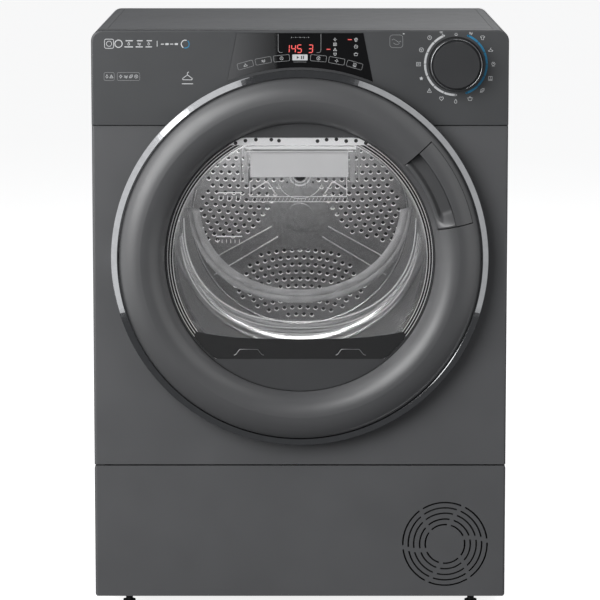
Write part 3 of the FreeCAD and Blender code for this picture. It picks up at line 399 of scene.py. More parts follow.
# plain pictograms about 2 wide and high, round 0, 0: "loop" and "open" are strokes, "fill" is solid
ICONS = {
    "shirt": [("loop", [(-1, 0.35), (-0.45, 0.85), (0.45, 0.85), (1, 0.35), (0.7, 0.0),
                        (0.5, 0.15), (0.5, -0.9), (-0.5, -0.9), (-0.5, 0.15), (-0.7, 0.0)])],
    "drop": [("loop", [(0, 1), (-0.55, 0.05), (-0.55, -0.5), (0, -0.9), (0.55, -0.5),
                       (0.55, 0.05)])],
    "sun": [("loop", ring_points(0, 0, 0.55)), ("open", [(0, 0.8), (0, 1.1)]),
            ("open", [(0.8, 0), (1.1, 0)]), ("open", [(0, -0.8), (0, -1.1)]),
            ("open", [(-0.8, 0), (-1.1, 0)])],
    "frame": [("loop", [(-0.9, 0.8), (-0.9, -0.8), (0.9, -0.8), (0.9, 0.8)]),
              ("open", [(-0.5, 0.25), (0.5, 0.25)]), ("open", [(-0.5, -0.25), (0.5, -0.25)])],
    "peak": [("loop", [(0, 0.9), (-0.95, -0.8), (0.95, -0.8)]), ("open", [(0, 0.2), (0, -0.4)])],
    "wave": [("open", [(-1, 0.1), (-0.6, 0.5), (-0.2, 0.1), (0.2, -0.3), (0.6, 0.1), (1, 0.5)]),
             ("open", [(-1, -0.6), (-0.6, -0.2), (-0.2, -0.6), (0.2, -1.0), (0.6, -0.6),
                       (1, -0.2)])],
    "clock": [("loop", ring_points(0, 0, 0.9)), ("open", [(0, 0.55), (0, 0), (0.4, -0.25)])],
    "leaf": [("loop", [(-0.9, -0.8), (-0.7, 0.3), (0.1, 0.9), (0.9, 0.9), (0.8, 0.0),
                       (0.1, -0.7)]), ("open", [(-0.9, -0.9), (0.4, 0.4)])],
    "star": [("fill", [around(0, 0, 1.0 if i % 2 == 0 else 0.5, -36 * i) for i in range(10)])],
    "basket": [("loop", [(-1, 0.4), (-0.7, -0.8), (0.7, -0.8), (1, 0.4)]),
               ("open", [(-0.5, 0.4), (0, 0.95), (0.5, 0.4)])],
    "hanger": [("open", [(0, 0.35), (0.0, 0.7), (0.3, 0.9)]),
               ("loop", [(0, 0.3), (-1, -0.45), (-0.9, -0.7), (0.9, -0.7), (1, -0.45)])],
    "globe": [("loop", ring_points(0, 0.15, 0.75)), ("open", [(-0.6, -0.9), (0.6, -0.9)]),
              ("open", [(-0.3, 0.1), (0, 0.5), (0.3, 0.1)])],
    "fan": [("loop", ring_points(0, 0, 0.95)), ("open", [(0, 0), (0.45, 0.45)]),
            ("open", [(0, 0), (-0.6, 0.15)]), ("open", [(0, 0), (0.15, -0.6)])],
    "power": [("open", [around(0, 0, 0.8, 35 + 29 * i) for i in range(11)]),
              ("open", [(0, 1.0), (0, 0.2)])],
    "signal": [("open", [around(0, -0.7, 1.5, -40 + 16 * i) for i in range(6)]),
               ("open", [around(0, -0.7, 0.9, -40 + 16 * i) for i in range(6)])],
    "arrow": [("fill", [(-0.5, 0.8), (-0.5, -0.8), (0.75, 0)])],
    "heart": [("loop", [(0, -0.9), (0.9, 0.1), (0.75, 0.75), (0.3, 0.8), (0, 0.4),
                        (-0.3, 0.8), (-0.75, 0.75), (-0.9, 0.1)])],
    "towel": [("loop", [(-0.8, 0.9), (-0.8, -0.9), (0.8, -0.9), (0.8, 0.9)]),
              ("open", [(-0.8, -0.45), (0.8, -0.45)]), ("open", [(0, 0.9), (0, -0.1)])],
}
SEGMENTS = {"1": "bc", "4": "bcfg", "5": "acdfg", "3": "abcdg"}


def digit(marks, value, x, z, wide, high, width):
    """A seven-segment digit whose lower left corner is at x, z."""
    lean, cut = 0.06 * high, 0.45
    spots = {"a": ((0, 1), (1, 1)), "b": ((1, 1), (1, 0.5)), "c": ((1, 0.5), (1, 0)),
             "d": ((0, 0), (1, 0)), "e": ((0, 0.5), (0, 0)), "f": ((0, 1), (0, 0.5)),
             "g": ((0, 0.5), (1, 0.5))}
    for key in SEGMENTS[value]:
        ends = [Vector((x + u * wide + lean * v, z + v * high)) for u, v in spots[key]]
        gap = (ends[1] - ends[0]).normalized() * cut
        marks.line([ends[0] + gap, ends[1] - gap], width)


def middle(name):
    """The centre of a frame piece's box in millimetres, to a tenth."""
    low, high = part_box(name)
    return [round(value / MM, 1) for value in (low + high) / 2]


AXIS_Z = middle("drum_back")[2]
DIAL_X, DIAL_Z = middle("program_dial")[0], middle("program_dial")[2]


def lens_prints():
    """The frame, keys and signs on the dark lens, and the lit display."""
    low_corner, high_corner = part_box("display_lens")
    front, top = low_corner.y / MM, high_corner.z / MM
    white, dim, red = (Marks(front) for _ in range(3))
    left, right, low, round_off, stroke = -31.1, 29.8, 818.0, 3.0, 0.55
    dim.line([(left, top - 0.8), (left, low + round_off), (left + 0.9, low + 0.9),
              (left + round_off, low), (left + 5.9, low)], stroke)
    dim.line([(right - 6.1, low), (right - round_off, low), (right - 0.9, low + 0.9),
              (right, low + round_off), (right, top - 0.8)], stroke)
    for i in range(9):
        dim.dot(-12.0 + 3.0 * i, 839.5, 0.45 if i % 2 else 0.75)
    for value, x in (("1", -21.2), ("4", -12.4), ("5", -3.9), ("3", 12.1)):
        digit(red, value, x, low, 5.6, 10.8, 1.25)
    red.soft_box(40.6, 822.6, 5.4, 1.2, 0.55)
    red.soft_box(70.9, 836.4, 5.8, 1.2, 0.55)
    for name, z in (("sun", 836.4), ("frame", 829.7), ("peak", 822.3), ("heart", 815.6)):
        white.icon(name, 49.9, z, 2.3, stroke)
    for name, z in (("globe", 836.2), ("clock", 826.4), ("basket", 815.6)):
        white.icon(name, 79.7, z, 2.7, stroke)
    key_radius, key_step = 287.0, 5.25
    names = ("hanger", "wave", "clock", None, "fan", "sun", "towel")
    for i, name in enumerate(names):
        turn = key_step * (i - 3)
        x, z = around(0, AXIS_Z, key_radius, turn)
        if name is None:
            white.soft_box(x, z, 21.6, 8.4, 0.8, None, turn)
            continue
        dim.soft_box(x, z, 22.6, 8.8, 1.6, 0.5, turn)
        white.icon(name, x, z, 2.5, 0.5, turn)
    dim.arc(0, AXIS_Z, 280.6, -1.9, 1.9, 0.5)
    white.done("lens_signs", "cabinet", WHITE_INK)
    dim.done("lens_outlines", "cabinet", DIM_INK)
    red.done("display_digits", "cabinet", RED_LIGHT)
    start, z = Marks(front - 0.08), AXIS_Z + key_radius
    start.icon("arrow", -3.2, z, 2.6)
    for x in (2.2, 5.0):
        start.soft_box(x, z, 1.5, 4.6, 0.2)
    start.done("start_key_sign", "cabinet", DARK_PRINT_AND_SHADE)


def dial_scale():
    """The arcs, ticks and signs around the knob, a painted shadow in the gap round it, and its bright rim.
    """
    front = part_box("control_fascia")[0].y / MM
    white, blue, dark = (Marks(front) for _ in range(3))
    radius, width, step, gap = 44.0, 3.1, 22.5, 0.55
    least_arc = 4
    for marks, first, last in ((white, -180.0, -23.4), (blue, 22.6, 159.4)):
        cuts = [first] + [k * step for k in range(-8, 9) if first + least_arc < k * step < last - least_arc]
        cuts.append(last)
        for a, b in zip(cuts, cuts[1:]):
            marks.arc(DIAL_X, DIAL_Z, radius, a + (gap if a != first else 0),
                      b - (gap if b != last else 0), width)
        for end in (first, last):
            marks.dot(*around(DIAL_X, DIAL_Z, radius, end), width / 2)
    # painted shadow in the gap round the knob
    dark.circle(DIAL_X, DIAL_Z, 38.3, 2.0)
    # the top sign stands in the gap between the arcs, and its neighbours are moved away from it
    names = ("power", "wave", "shirt", "hanger", "globe", "towel", "leaf", "basket", "drop",
             "heart", "peak", "star", "frame", "fan", "clock", "signal")
    for i, name in enumerate(names):
        distance, size, shift = 53.3, 3.1, 0.0
        if i == 0:
            distance, size = 42.4, 2.2
        elif i in (1, 15):
            distance, size, shift = 49.2, 2.4, 3.0 if i == 1 else -3.0
        x, z = around(DIAL_X, DIAL_Z, distance, i * step + shift)
        white.icon(name, x, z, size, 0.6)
    white.dot(*around(DIAL_X, DIAL_Z, 46.8, -24.4), 0.8)
    white.done("dial_scale_white", "cabinet", WHITE_INK)
    blue.done("dial_scale_blue", "cabinet", BLUE_INK)
    dark.done("dial_shadow_ring", "cabinet", DARK_PRINT_AND_SHADE)
    knob_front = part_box("program_dial")[0].y
    lathe("dial_rim", "dial", MATERIALS["chrome_trim"], "chrome_trim",
          [(0.0352, knob_front + 0.0012), (0.0360, knob_front + 0.0003),
           (0.0367, knob_front + 0.0009), (0.0369, knob_front + 0.0022),
           (0.03605, knob_front + 0.0030)], DIAL_X * MM, DIAL_Z * MM)


def console_prints():
    """Plain signs left of the lens and a sign between the lens and the dial."""
    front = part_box("control_fascia")[0].y / MM
    white, dim, blue = (Marks(front) for _ in range(3))
    dim.soft_box(137.2, 834.0, 18.4, 18.0, 4.0, 0.55)
    dim.line([(130.5, 835.6), (133.5, 837.2), (137.2, 834.8), (140.6, 832.6), (144.0, 834.2)], 0.6)
    dim.line([(132.8, 831.8), (136.0, 829.6), (139.6, 829.6), (142.0, 831.4)], 0.6)
    white.soft_box(147.6, 844.6, 2.4, 1.6, 0.7)
    white.soft_box(-272.0, 830.5, 13.0, 13.0, 2.4, 0.9)
    white.circle(-272.0, 830.5, 3.7, 0.8)
    white.circle(-258.5, 830.5, 5.2, 1.3)
    for i, (x, wide) in enumerate(((-244.0, 12.5), (-229.0, 10.5), (-215.5, 9.5))):
        white.soft_box(x, 826.0, wide, 1.5, 0.7)
        white.soft_box(x + 0.8, 834.8, wide - 1.8, 1.5, 0.7)
        white.icon("wave" if i == 1 else "drop", x, 830.4, 2.3, 0.7)
    white.line([(-203.5, 826.5), (-203.5, 834.5)], 1.0)
    for i in range(4):
        white.soft_box(-196.0 + 6.6 * i, 830.0, 4.6, 1.3 + 1.5 * (i % 2), 0.6)
    white.arc(-163.5, 830.0, 5.6, -150, 20, 1.4)
    blue.arc(-163.5, 830.0, 5.6, 35, 195, 1.4)
    dim.soft_box(-272.2, 783.8, 14.6, 11.4, 2.2, 0.5)
    dim.soft_box(-244.6, 783.8, 32.0, 11.4, 2.2, 0.5)
    white.icon("drop", -275.4, 783.8, 2.6, 0.55)
    white.icon("peak", -269.0, 783.8, 2.5, 0.55)
    for i, name in enumerate(("sun", "wave", "leaf", "fan")):
        white.icon(name, -255.8 + 7.4 * i, 783.8, 2.5, 0.55)
    white.icon("hanger", -160.6, 784.0, 7.0, 0.9)
    white.soft_box(-160.6, 773.4, 16.0, 1.1, 0.5)
    white.done("console_signs", "cabinet", WHITE_INK)
    dim.done("console_outlines", "cabinet", DIM_INK)
    blue.done("console_arc", "cabinet", BLUE_INK)


# ---------------------------------------------------------------- turned and moulded pieces, and light and shade painted on them

def lathe(name, body, material, slot, profile, x=0.0, z=AXIS_Z * MM, steps=128):
    """A closed profile of (radius, y) turned about an axis along Y."""
    mesh = bmesh.new()
    rings = []
    for i in range(steps):
        turn = math.radians(360.0 * i / steps)
        rings.append([mesh.verts.new((x + r * math.sin(turn), y, z + r * math.cos(turn)))
                      for r, y in profile])
    count = len(profile)
    for i in range(steps):
        a, b = rings[i], rings[(i + 1) % steps]
        for k in range(count):
            m = (k + 1) % count
            mesh.faces.new((a[k], a[m], b[m], b[k]))
    bmesh.ops.recalc_face_normals(mesh, faces=mesh.faces)
    for face in mesh.faces:
        face.smooth = True
    return piece(name, mesh, body, material, slot)


def bead(radius, y, size, squash=1.0, corners=10):
    """The round section of a thin ring."""
    return [(radius + size * math.cos(2 * math.pi * i / corners),
             y + size * squash * math.sin(2 * math.pi * i / corners)) for i in range(corners)]


def bar(name, body, material, slot, points, radius):
    """A round rod with straight runs between the points."""
    curve = bpy.data.curves.new(name, "CURVE")
    curve.dimensions = "3D"
    curve.bevel_depth = radius
    curve.bevel_resolution = 4
    curve.use_fill_caps = True
    spline = curve.splines.new("POLY")
    spline.points.add(len(points) - 1)
    for point, place in zip(spline.points, points):
        point.co = (*place, 1.0)
    made = bpy.data.objects.new(name, curve)
    bpy.context.collection.objects.link(made)
    bpy.context.view_layer.update()
    mesh = bpy.data.meshes.new_from_object(made.evaluated_get(
        bpy.context.evaluated_depsgraph_get()))
    bpy.data.objects.remove(made)
    mesh.name = name
    mesh.materials.clear()
    mesh.polygons.foreach_set("use_smooth", [True] * len(mesh.polygons))
    return add_mesh(name, mesh, body, material, slot)


def moulding(name, body, material, slot, x0, x1, y0, y1, z0, z1, soft=0.0012):
    """A block with rounded edges."""
    mesh = bmesh.new()
    corners = [mesh.verts.new((x, y, z)) for x in (x0, x1) for y in (y0, y1) for z in (z0, z1)]
    for quad in ((0, 1, 3, 2), (4, 6, 7, 5), (0, 4, 5, 1), (2, 3, 7, 6), (0, 2, 6, 4),
                 (1, 5, 7, 3)):
        mesh.faces.new([corners[i] for i in quad])
    bmesh.ops.recalc_face_normals(mesh, faces=mesh.faces)
    bmesh.ops.bevel(mesh, geom=mesh.edges[:], offset=soft, segments=3, profile=0.5,
                    affect="EDGES")
    for face in mesh.faces:
        face.smooth = True
    return piece(name, mesh, body, material, slot)


def ring_front(radius):
    """The y of the door ring's front surface, measured opposite the grip."""
    ring = nodes["door_ring"]
    turn = math.radians(200)
    start = Vector((radius * math.cos(turn), -0.4, AXIS_Z * MM + radius * math.sin(turn)))
    return ring.ray_cast(start, Vector((0, 1, 0)))[1].y


def grip_scoop():
    """The hollow for the fingers beside the handle, deep at its top and running out below."""
    first, last = math.radians(12.3), math.radians(42.0)
    inner, outer, floor, wall = 0.2011, 0.2283, -0.2855, 0.0010
    across, along = 16, 40
    mesh = bmesh.new()
    front, back = [], []
    for i in range(along + 1):
        v = i / along
        angle = first + (last - first) * v
        run = min(1.0, v / 0.20)
        end = run * run * (3 - 2 * run)
        row = []
        for j in range(across + 1):
            u = j / across
            radius = inner + (outer - inner) * u
            lip = min(1.0, u / 0.45)
            depth = end * lip * lip * (3 - 2 * lip)
            flush = ring_front(radius) + 0.0004
            y = flush + (floor - flush) * depth
            row.append((radius * math.cos(angle), y, AXIS_Z * MM + radius * math.sin(angle)))
        front.append([mesh.verts.new(p) for p in row])
        back.append([mesh.verts.new((p[0], p[1] + wall, p[2])) for p in row])
    for i in range(along):
        for j in range(across):
            for sheet in (front, back):
                mesh.faces.new((sheet[i][j], sheet[i][j + 1], sheet[i + 1][j + 1], sheet[i + 1][j]))
    for i in range(along):
        for j in (0, across):
            mesh.faces.new((front[i][j], front[i + 1][j], back[i + 1][j], back[i][j]))
    for j in range(across):
        for i in (0, along):
            mesh.faces.new((front[i][j], front[i][j + 1], back[i][j + 1], back[i][j]))
    bmesh.ops.recalc_face_normals(mesh, faces=mesh.faces)
    for face in mesh.faces:
        face.smooth = True
    piece("grip_scoop", mesh, "door", MATERIALS["ring_plastic"], "ring_plastic")


def chrome_ring():
    """The bright trim with a sloping face, in place of the plain turned ring."""
    low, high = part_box("door_chrome_ring")
    outer = high.x
    inner = outer - 0.010
    ring = lathe("chrome_trim_ring", "door", MATERIALS["chrome_trim"], "chrome_trim",
                 [(inner, high.y), (inner, low.y + 0.0012), (inner + 0.0004, low.y + 0.0003),
                  (inner + 0.0012, low.y + 0.0001), (outer - 0.0012, low.y + 0.0048),
                  (outer - 0.0003, low.y + 0.0058), (outer, low.y + 0.0072), (outer, high.y)],
                 steps=256)
    for polygon in ring.data.polygons:
        polygon.use_smooth = False
    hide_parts("door_chrome_ring")


def u_line(half, foot, y, power=2.35, top=0.580, count=40, start=0.0):
    """Points down one side of a round-cornered U, along its foot and up the other side."""
    points = []
    for i in range(count + 1):
        turn = math.pi * (start + (1 - 2 * start) * i / count)
        c, sn = math.cos(turn), math.sin(turn)
        points.append(Vector((-half * math.copysign(abs(c) ** (2 / power), c), y,
                              top - (top - foot) * abs(sn) ** (2 / power))))
    return points


def ribbon(name, body, material, slot, edge_a, edge_b, thickness=0.0004):
    """A thin sheet between two rows of points."""
    mesh = bmesh.new()
    sheets = [[[mesh.verts.new((p.x, p.y + shift, p.z)) for p in row] for row in (edge_a, edge_b)]
              for shift in (0.0, thickness)]
    last = len(edge_a) - 1
    for i in range(last):
        for a, b in sheets:
            mesh.faces.new((a[i], a[i + 1], b[i + 1], b[i]))
        for k in (0, 1):
            mesh.faces.new((sheets[0][k][i], sheets[0][k][i + 1], sheets[1][k][i + 1],
                            sheets[1][k][i]))
    for i in (0, last):
        mesh.faces.new((sheets[0][0][i], sheets[0][1][i], sheets[1][1][i], sheets[1][0][i]))
    bmesh.ops.recalc_face_normals(mesh, faces=mesh.faces)
    for face in mesh.faces:
        face.smooth = True
    return piece(name, mesh, body, material, slot)


def container_glints(front):
    """Painted highlights round the container's rounded foot: pale rods for the bright lines on its ribs,
    and pale, partly see-through bands for the sheen between them.
    """
    pale = MATERIALS["pale_plastic"]
    # pale rods: painted highlight lines on the ribs
    for i, (half, foot, size) in enumerate(((0.1665, 0.4300, 0.0010), (0.1700, 0.4205, 0.0007),
                                            (0.1735, 0.4110, 0.0009))):
        bar(f"container_glint_line_{i}", "container", pale, "pale_plastic",
            u_line(half, foot, front + 0.006 + 0.002 * i, start=0.03 * i), size)
    # pale, partly see-through bands: painted sheen between the ribs
    for i, (half, foot, rise) in enumerate(((0.1690, 0.4270, 0.0060),
                                            (0.1722, 0.4175, 0.0052))):
        ribbon(f"container_painted_sheen_{i}", "container", PAINTED_GLINT, "clear_plastic",
               u_line(half, foot, front + 0.007, 2.2, start=0.04),
               u_line(half + 0.002, foot - rise, front + 0.0085, 2.2, start=0.04))


def container_posts(front):
    """Two pairs of upright posts beside the moulded plate, made of the pale, partly see-through sheet that
    paints highlights.
    """
    foot, head = AXIS_Z * MM + 0.108, AXIS_Z * MM + 0.156
    for i, (x0, x1) in enumerate(((-0.0870, -0.0835), (-0.0805, -0.0735), (0.0712, 0.0790),
                                  (0.0830, 0.0862))):
        moulding(f"container_post_{i}", "container", PAINTED_GLINT, "clear_plastic", x0, x1,
                 front + 0.003, front + 0.030, foot, head)


def container_bright_curve(front):
    """The wide bright curve, as painted highlight: two sloping steps, each from an inner line to an outer
    line.
    """
    for i, (a, b) in enumerate((((0.1440, 0.4760, 2.05), (0.1600, 0.4640, 2.10)),
                                ((0.1555, 0.4660, 2.10), (0.1620, 0.4565, 2.15)))):
        ribbon(f"container_curve_band_{i}", "container", PAINTED_GLINT, "clear_plastic",
               u_line(a[0], a[1], front + 0.012, a[2], 0.600, start=0.02),
               u_line(b[0], b[1], front + 0.015, b[2], 0.606, start=0.02))


def container_level_marks(front):
    """Two level lines with short ticks below them."""
    scale = Marks(front / MM + 2.45, 0.3)
    for z, x0, x1 in ((617.5, -118.0, -83.0), (554.5, -120.0, -83.0)):
        scale.line([(x0, z), (x1, z)], 1.5)
        for k in range(6):
            x = x0 + 6.2 * k + 2
            scale.line([(x, z - 4.5), (x, z - 9.5)], 0.8)
    scale.done("container_level_marks", "container", MATERIALS["pale_plastic"], "pale_plastic")


def container_details():
    """Everything moulded on the clear container, seen through the door glass, and the highlights painted on
    it.
    """
    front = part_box("water_container")[0].y
    container_glints(front)
    container_posts(front)
    container_bright_curve(front)
    container_level_marks(front)
    funnel_panel(front)


def funnel_panel(front):
    """The moulded plate under the trough: a shallow boss, two ribs and a ribbed foot, with painted shade in
    the boss's recess.
    """
    back = front / MM + 12.0
    lines, shade = Marks(back, 0.8), Marks(back + 1.0, 0.3)
    centre, foot, left, right = 642.0, 611.0, -72.0, 67.0
    lines.line([(left, foot), (right, foot)], 1.1)
    lines.line([(left, foot), (left, centre + 8)], 1.0)
    lines.line([(right, foot), (right, centre + 8)], 1.0)
    lines.line([(left - 2.0, foot - 7.5), (right + 3.0, foot - 7.5)], 0.9)
    for i in range(26):
        lines.line([(-69.0 + 5.4 * i, foot - 6.6), (-66.6 + 5.4 * i, foot - 1.6)], 0.55)
    lines.arc(0, centre, 34.0, 112, 248, 0.8)
    lines.arc(0, centre, 15.0, 100, 260, 2.0)
    lines.arc(0, centre, 10.5, 100, 260, 1.2)
    for side in (-1, 1):
        lines.line([(side * 68.0, 620.0), (side * 50.0, 631.5), (side * 45.5, 631.0),
                    (side * 35.5, 615.5)], 1.8)
    # black fills: painted shade in the recess of the boss, and two dark dots at its screws
    shade.fill([around(0, centre, 8.6, 96 - 12 * i) for i in range(-14, 1)])
    for side in (-1, 1):
        shade.dot(side * 18.5, 631.5, 1.5)
    lines.done("funnel_panel_ribs", "container", MATERIALS["pale_plastic"], "pale_plastic")
    shade.done("funnel_panel_shade_marks", "container", MATERIALS["black_plastic"], "black_plastic")


def perforated_strip():
    """The pale strip with round holes above the trough; the holes are black dots of painted shade, and two
    pale lines below it are painted highlight on a clear rib.
    """
    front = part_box("window_mask")[1].y / MM
    strip, holes = Marks(front + 0.75, 0.5), Marks(front + 0.24, 0.1)
    strip.fill([(-104.0, 686.0), (-92.0, 695.5), (-60.0, 699.5), (70.0, 699.5), (96.0, 695.5),
                (110.0, 686.0)][::-1])
    # black dots: painted shade in the holes
    for x, z in ((-92, 689), (-78, 692.5), (-63, 694), (-41, 694), (-30, 692.5), (25, 692),
                 (38, 694), (52, 694.5), (66, 692), (80, 692.5), (94, 689)):
        holes.dot(x, z, 2.7)
    # two pale lines: painted highlight on the clear rib below the strip
    strip.line([(-78.0, 682.0), (80.0, 682.0)], 4.0)
    strip.line([(-76.0, 677.4), (76.0, 677.4)], 1.2)
    strip.done("window_strip", "door", MATERIALS["pale_plastic"], "pale_plastic")
    holes.done("window_strip_hole_shade", "door", MATERIALS["black_plastic"], "black_plastic")


WINDOW_REACH, WINDOW_TOP, WINDOW_FOOT = 0.1915, 0.173, -0.147


def window_surround(low, high):
    """The mask round the window, whose opening is a circle cut off at its top and foot."""
    outer, steps = high.x, 180
    mesh = bmesh.new()
    loops = []
    for y in (low.y, high.y):
        rim, edge = [], []
        for i in range(steps):
            turn = 2 * math.pi * i / steps
            c, sn = math.cos(turn), math.sin(turn)
            reach = WINDOW_REACH
            if sn > 0.01:
                reach = min(reach, WINDOW_TOP / sn)
            if sn < -0.01:
                reach = min(reach, WINDOW_FOOT / sn)
            rim.append(mesh.verts.new((outer * c, y, AXIS_Z * MM + outer * sn)))
            edge.append(mesh.verts.new((reach * c, y, AXIS_Z * MM + reach * sn)))
        loops += [rim, edge]
    rim_a, edge_a, rim_b, edge_b = loops
    for i in range(steps):
        j = (i + 1) % steps
        for p, q in ((rim_a, edge_a), (edge_a, edge_b), (edge_b, rim_b), (rim_b, rim_a)):
            mesh.faces.new((p[i], p[j], q[j], q[i]))
    bmesh.ops.recalc_face_normals(mesh, faces=mesh.faces)
    mask = piece("window_surround", mesh, "door", MATERIALS["mask_dark"], "mask_dark")
    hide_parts("window_mask")


def painted_rim_lines(back):
    """Thin rings at both sides of the window, pale and black in turn: painted highlight and painted shade
    lines of the clear moulded rim.
    """
    for i in range(5):
        slot = ("pale_plastic", "black_plastic")[i % 2]
        lathe(f"painted_rim_line_{i}", "door", MATERIALS[slot], slot,
              bead(0.1826 + 0.0019 * i, back + 0.0018, 0.00055), steps=192)


def window_band(back):
    """The black band at the window's foot, whose upper edge rises to both sides."""
    half, foot_half, side, crown, lift = 0.150, 0.120, 0.1905, -0.1180, 0.0110
    upper = [(half * (1 - i / 12), crown + lift * abs(1 - i / 12) ** 3) for i in range(25)]
    start, end = math.atan2(crown + lift, -half), math.atan2(WINDOW_FOOT, -foot_half)
    turns = [start + (end - start) * k / 10 for k in range(1, 10)]
    left = [(side * math.cos(turn), side * math.sin(turn)) for turn in turns]
    left.append((-0.118, WINDOW_FOOT - 0.001))
    right = [(-x, z) for x, z in reversed(left)]
    band = Marks(back / MM + 0.7, 0.5)
    band.fill([(x / MM, AXIS_Z + z / MM) for x, z in upper + left + right])
    band.done("window_band", "door", MATERIALS["black_plastic"], "black_plastic")


def window_clips(back):
    """The two wire clips at the window's foot."""
    y, foot = back + 0.0001, AXIS_Z * MM - 0.1415
    shape = ((-0.0215, 0.0), (-0.0185, 0.0015), (-0.0135, 0.0085), (0.0125, 0.0085),
             (0.0185, 0.001), (0.0215, 0.0))
    for i, middle_x in enumerate((-0.0735, 0.073)):
        bar(f"window_clip_{i}", "door", MATERIALS["steel"], "steel",
            [(middle_x + x, y, foot + z) for x, z in shape], 0.0005)


def window_frame():
    """The mask with its window, what is moulded or clipped beside the opening, and the lines of light and
    shade painted beside it.
    """
    low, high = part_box("window_mask")
    window_surround(low, high)
    painted_rim_lines(high.y)
    window_band(high.y)
    window_clips(high.y)


def grille_filter():
    """The fine black gauze close behind the kick panel's slots."""
    centre_x, centre_z, inner, outer, thick = 0.2108, 0.1032, 0.0285, 0.0635, 0.0004
    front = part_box("kick_panel")[0].y + 0.0042
    lathe("grille_filter", "kick_flap", MATERIALS["black_plastic"], "black_plastic",
          [(inner, front), (outer, front), (outer, front + thick), (inner, front + thick)],
          centre_x, centre_z, steps=96)


def sector_ways(degrees):
    """Unit vectors along and across a sector of the drum's rear disc."""
    base = math.radians(degrees)
    along = Vector((math.cos(base), 0, math.sin(base)))
    return along, Vector((-along.z, 0, along.x))


def hole_places():
    """Where the rear disc's holes are, about the drum's axis, by the rule that spaces them."""
    reach, sweep, pitch, gap, first_row, widest = 0.158, 0.240, 0.0124, 0.0114, 0.052, 47
    for sector in (30, 150, 270):
        along, across = sector_ways(sector)
        for row in range(10):
            for step in range(-12, 13):
                turn = pitch * (step + 0.5 * (row % 2)) / sweep
                spot = along * (first_row + gap * row + sweep * (1 - math.cos(turn)))
                spot += across * (sweep * math.sin(turn))
                off = abs(math.degrees(math.atan2(spot.dot(across), spot.dot(along))))
                if off < widest and spot.length < reach:
                    yield spot


def drum_beads():
    """The beads rolled into the barrel."""
    barrel = 0.2805
    for i, y in enumerate((-0.060, 0.010, 0.080, 0.150)):
        lathe(f"drum_bead_{i}", "drum", MATERIALS["drum_steel"], "drum_steel",
              [(barrel - 0.0002, y - 0.010), (barrel - 0.0026, y - 0.005),
               (barrel - 0.0036, y), (barrel - 0.0026, y + 0.005),
               (barrel - 0.0002, y + 0.010), (barrel + 0.0004, y)], steps=160)


def drum_rings(back_low, back_high):
    """The rim of the rear disc, the step pressed round it and the rolled front lip."""
    steel = MATERIALS["drum_steel"]
    lathe("drum_back_rim", "drum", steel, "drum_steel",
          bead(0.1695, back_low - 0.0006, 0.0011, 0.8), steps=160)
    step_y = back_high - 0.0095
    lathe("drum_back_step", "drum", steel, "drum_steel",
          [(0.1835, step_y + 0.0046), (0.1860, step_y - 0.0020), (0.1905, step_y - 0.0065),
           (0.1960, step_y - 0.0090), (0.2015, step_y - 0.0098), (0.2060, step_y - 0.0080),
           (0.2080, step_y - 0.0052)], steps=192)
    lathe("drum_lip_roll", "drum", steel, "drum_steel",
          bead(0.2308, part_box("drum_shell")[0].y + 0.0018, 0.0017), steps=160)


def drum_ribs(back_low):
    """Three pairs of ribs pressed in the rear disc, a little wider apart at the rim."""
    centre = Vector((0, back_low - 0.0002, AXIS_Z * MM))
    for sector in (90, 210, 330):
        along, across = sector_ways(sector)
        for side, letter in ((-1, "a"), (1, "b")):
            bar(f"drum_rib_{sector}_{letter}", "drum", MATERIALS["drum_steel"], "drum_steel",
                [centre + along * reach + across * side * (0.0085 + 0.02 * reach)
                 for reach in (0.046, 0.086, 0.126, 0.164)], 0.0010)


def drum_hole_highlights(back_low):
    """Painted highlight on the lower lip of each hole, as a thin pale crescent."""
    hole_glints = Marks(back_low / MM, 0.45)
    for spot in hole_places():
        x, z = spot.x / MM, AXIS_Z + spot.z / MM
        outer = [around(x, z, 3.9, 108 + 18 * k) for k in range(9)]
        inner = [around(x, z + 0.5, 2.9, 252 - 18 * k) for k in range(9)]
        hole_glints.fill((outer + inner)[::-1])
    hole_glints.done("drum_hole_highlights", "drum", HOLE_HIGHLIGHT, "drum_steel")


def drum_details():
    """Everything rolled or pressed in the drum's sheet, and the highlights painted on the holes' lips."""
    low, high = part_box("drum_back")
    drum_beads()
    drum_rings(low.y, high.y)
    drum_ribs(low.y)
    drum_hole_highlights(low.y)


def window_gasket():
    """The thin dark gasket round the glass."""
    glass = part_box("door_glass")
    edge = glass[1].x
    lathe("window_gasket", "door", MATERIALS["rubber"], "rubber",
          [(edge + 0.00002, glass[0].y + 0.0006), (edge + 0.0004, glass[0].y - 0.0002),
           (edge + 0.0004, glass[1].y - 0.0005), (edge + 0.00002, glass[1].y - 0.0005)],
          steps=192)


lens_prints()
dial_scale()
console_prints()
chrome_ring()
grip_scoop()
window_frame()
window_gasket()
container_details()
perforated_strip()
drum_details()
grille_filter()


# ---------------------------------------------------------------- floor, light and camera

def build_floor():
    """A pale floor that glows, so that it stays white behind the machine.

    It neither shows in reflections nor lights the machine.
    """
    n = Nodes("floor_paint")
    n.link(n.ramp(n.noise(0.4, 2.0), [(0.3, (0.78,) * 3), (0.7, (0.80,) * 3)]),
           n.shader.inputs["Base Color"])
    n.set(Roughness=0.8, Emission_Color=(1, 1, 1, 1), Emission_Strength=0.84)
    mesh = bmesh.new()
    bmesh.ops.create_grid(mesh, x_segments=2, y_segments=2, size=40)
    data = bpy.data.meshes.new("floor")
    mesh.to_mesh(data)
    mesh.free()
    data.materials.append(n.material)
    floor = bpy.data.objects.new("floor", data)
    bpy.context.collection.objects.link(floor)
    floor.location = (0, 15, 0)
    floor.visible_glossy = False
    floor.visible_diffuse = False


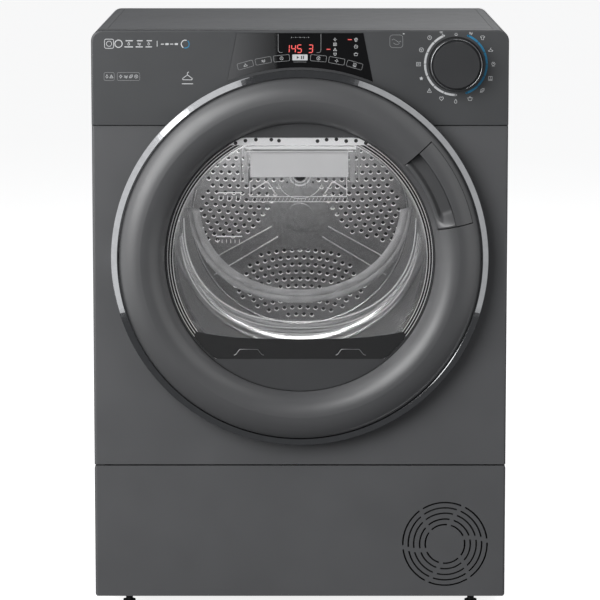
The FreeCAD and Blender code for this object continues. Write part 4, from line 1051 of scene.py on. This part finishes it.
def softbox(name, place, target, width, height, radiance):
    """A lamp of even brightness; radiance is what a mirror would show of it."""
    data = bpy.data.lights.new(name, "AREA")
    data.shape = "RECTANGLE"
    data.size, data.size_y = width, height
    data.energy = radiance * math.pi * width * height
    lamp = bpy.data.objects.new(name, data)
    bpy.context.collection.objects.link(lamp)
    lamp.location = place
    lamp.rotation_euler = (Vector(target) - Vector(place)).to_track_quat("-Z", "Y").to_euler()
    lamp.visible_camera = False


def build_lights():
    """A dim room, walls of light at both sides, a key lamp, two behind and one in the drum."""
    world = bpy.data.worlds.new("studio")
    bpy.context.scene.world = world
    world.use_nodes = True
    back = world.node_tree.nodes["Background"]
    back.inputs["Color"].default_value = (0.95, 0.97, 1.0, 1)
    back.inputs["Strength"].default_value = 0.12
    softbox("left_wall", (-1.25, -1.15, 2.2), (0, -1.15, 2.2), 2.1, 4.4, 1.35)
    softbox("right_wall", (1.25, -1.35, 2.2), (0, -1.35, 2.2), 1.7, 4.4, 0.80)
    softbox("key", (-1.95, -3.05, 1.95), (0, -0.25, 0.5), 2.6, 2.6, 4.7)
    softbox("top_back", (0, 0.9, 2.6), (0, 0.2, 0.8), 2.5, 1.5, 0.2)
    softbox("back_fill", (0.9, 2.9, 3.3), (0, 0.3, 0.45), 1.8, 1.8, 3.4)
    softbox("drum_lamp", (-0.04, -0.13, 0.715), (0.02, 0.12, 0.45), 0.24, 0.05, 52.0)


def build_camera():
    """Straight on and a little above."""
    pitch, distance, seen_width = math.radians(8.0), 5.0, 0.864
    aim_behind_front, aim_z = 0.04, 0.4615
    aim = Vector((0.0, cad_low.y + aim_behind_front, aim_z))
    data = bpy.data.cameras.new("camera")
    data.sensor_width = 36
    data.lens = data.sensor_width * distance / seen_width
    data.clip_end = 100
    camera = bpy.data.objects.new("camera", data)
    bpy.context.collection.objects.link(camera)
    camera.location = aim + distance * Vector((0, -math.cos(pitch), math.sin(pitch)))
    camera.rotation_euler = (math.pi / 2 - pitch, 0, 0)
    bpy.context.scene.camera = camera


build_floor()
build_lights()
build_camera()
bpy.context.scene.view_settings.view_transform = "Standard"
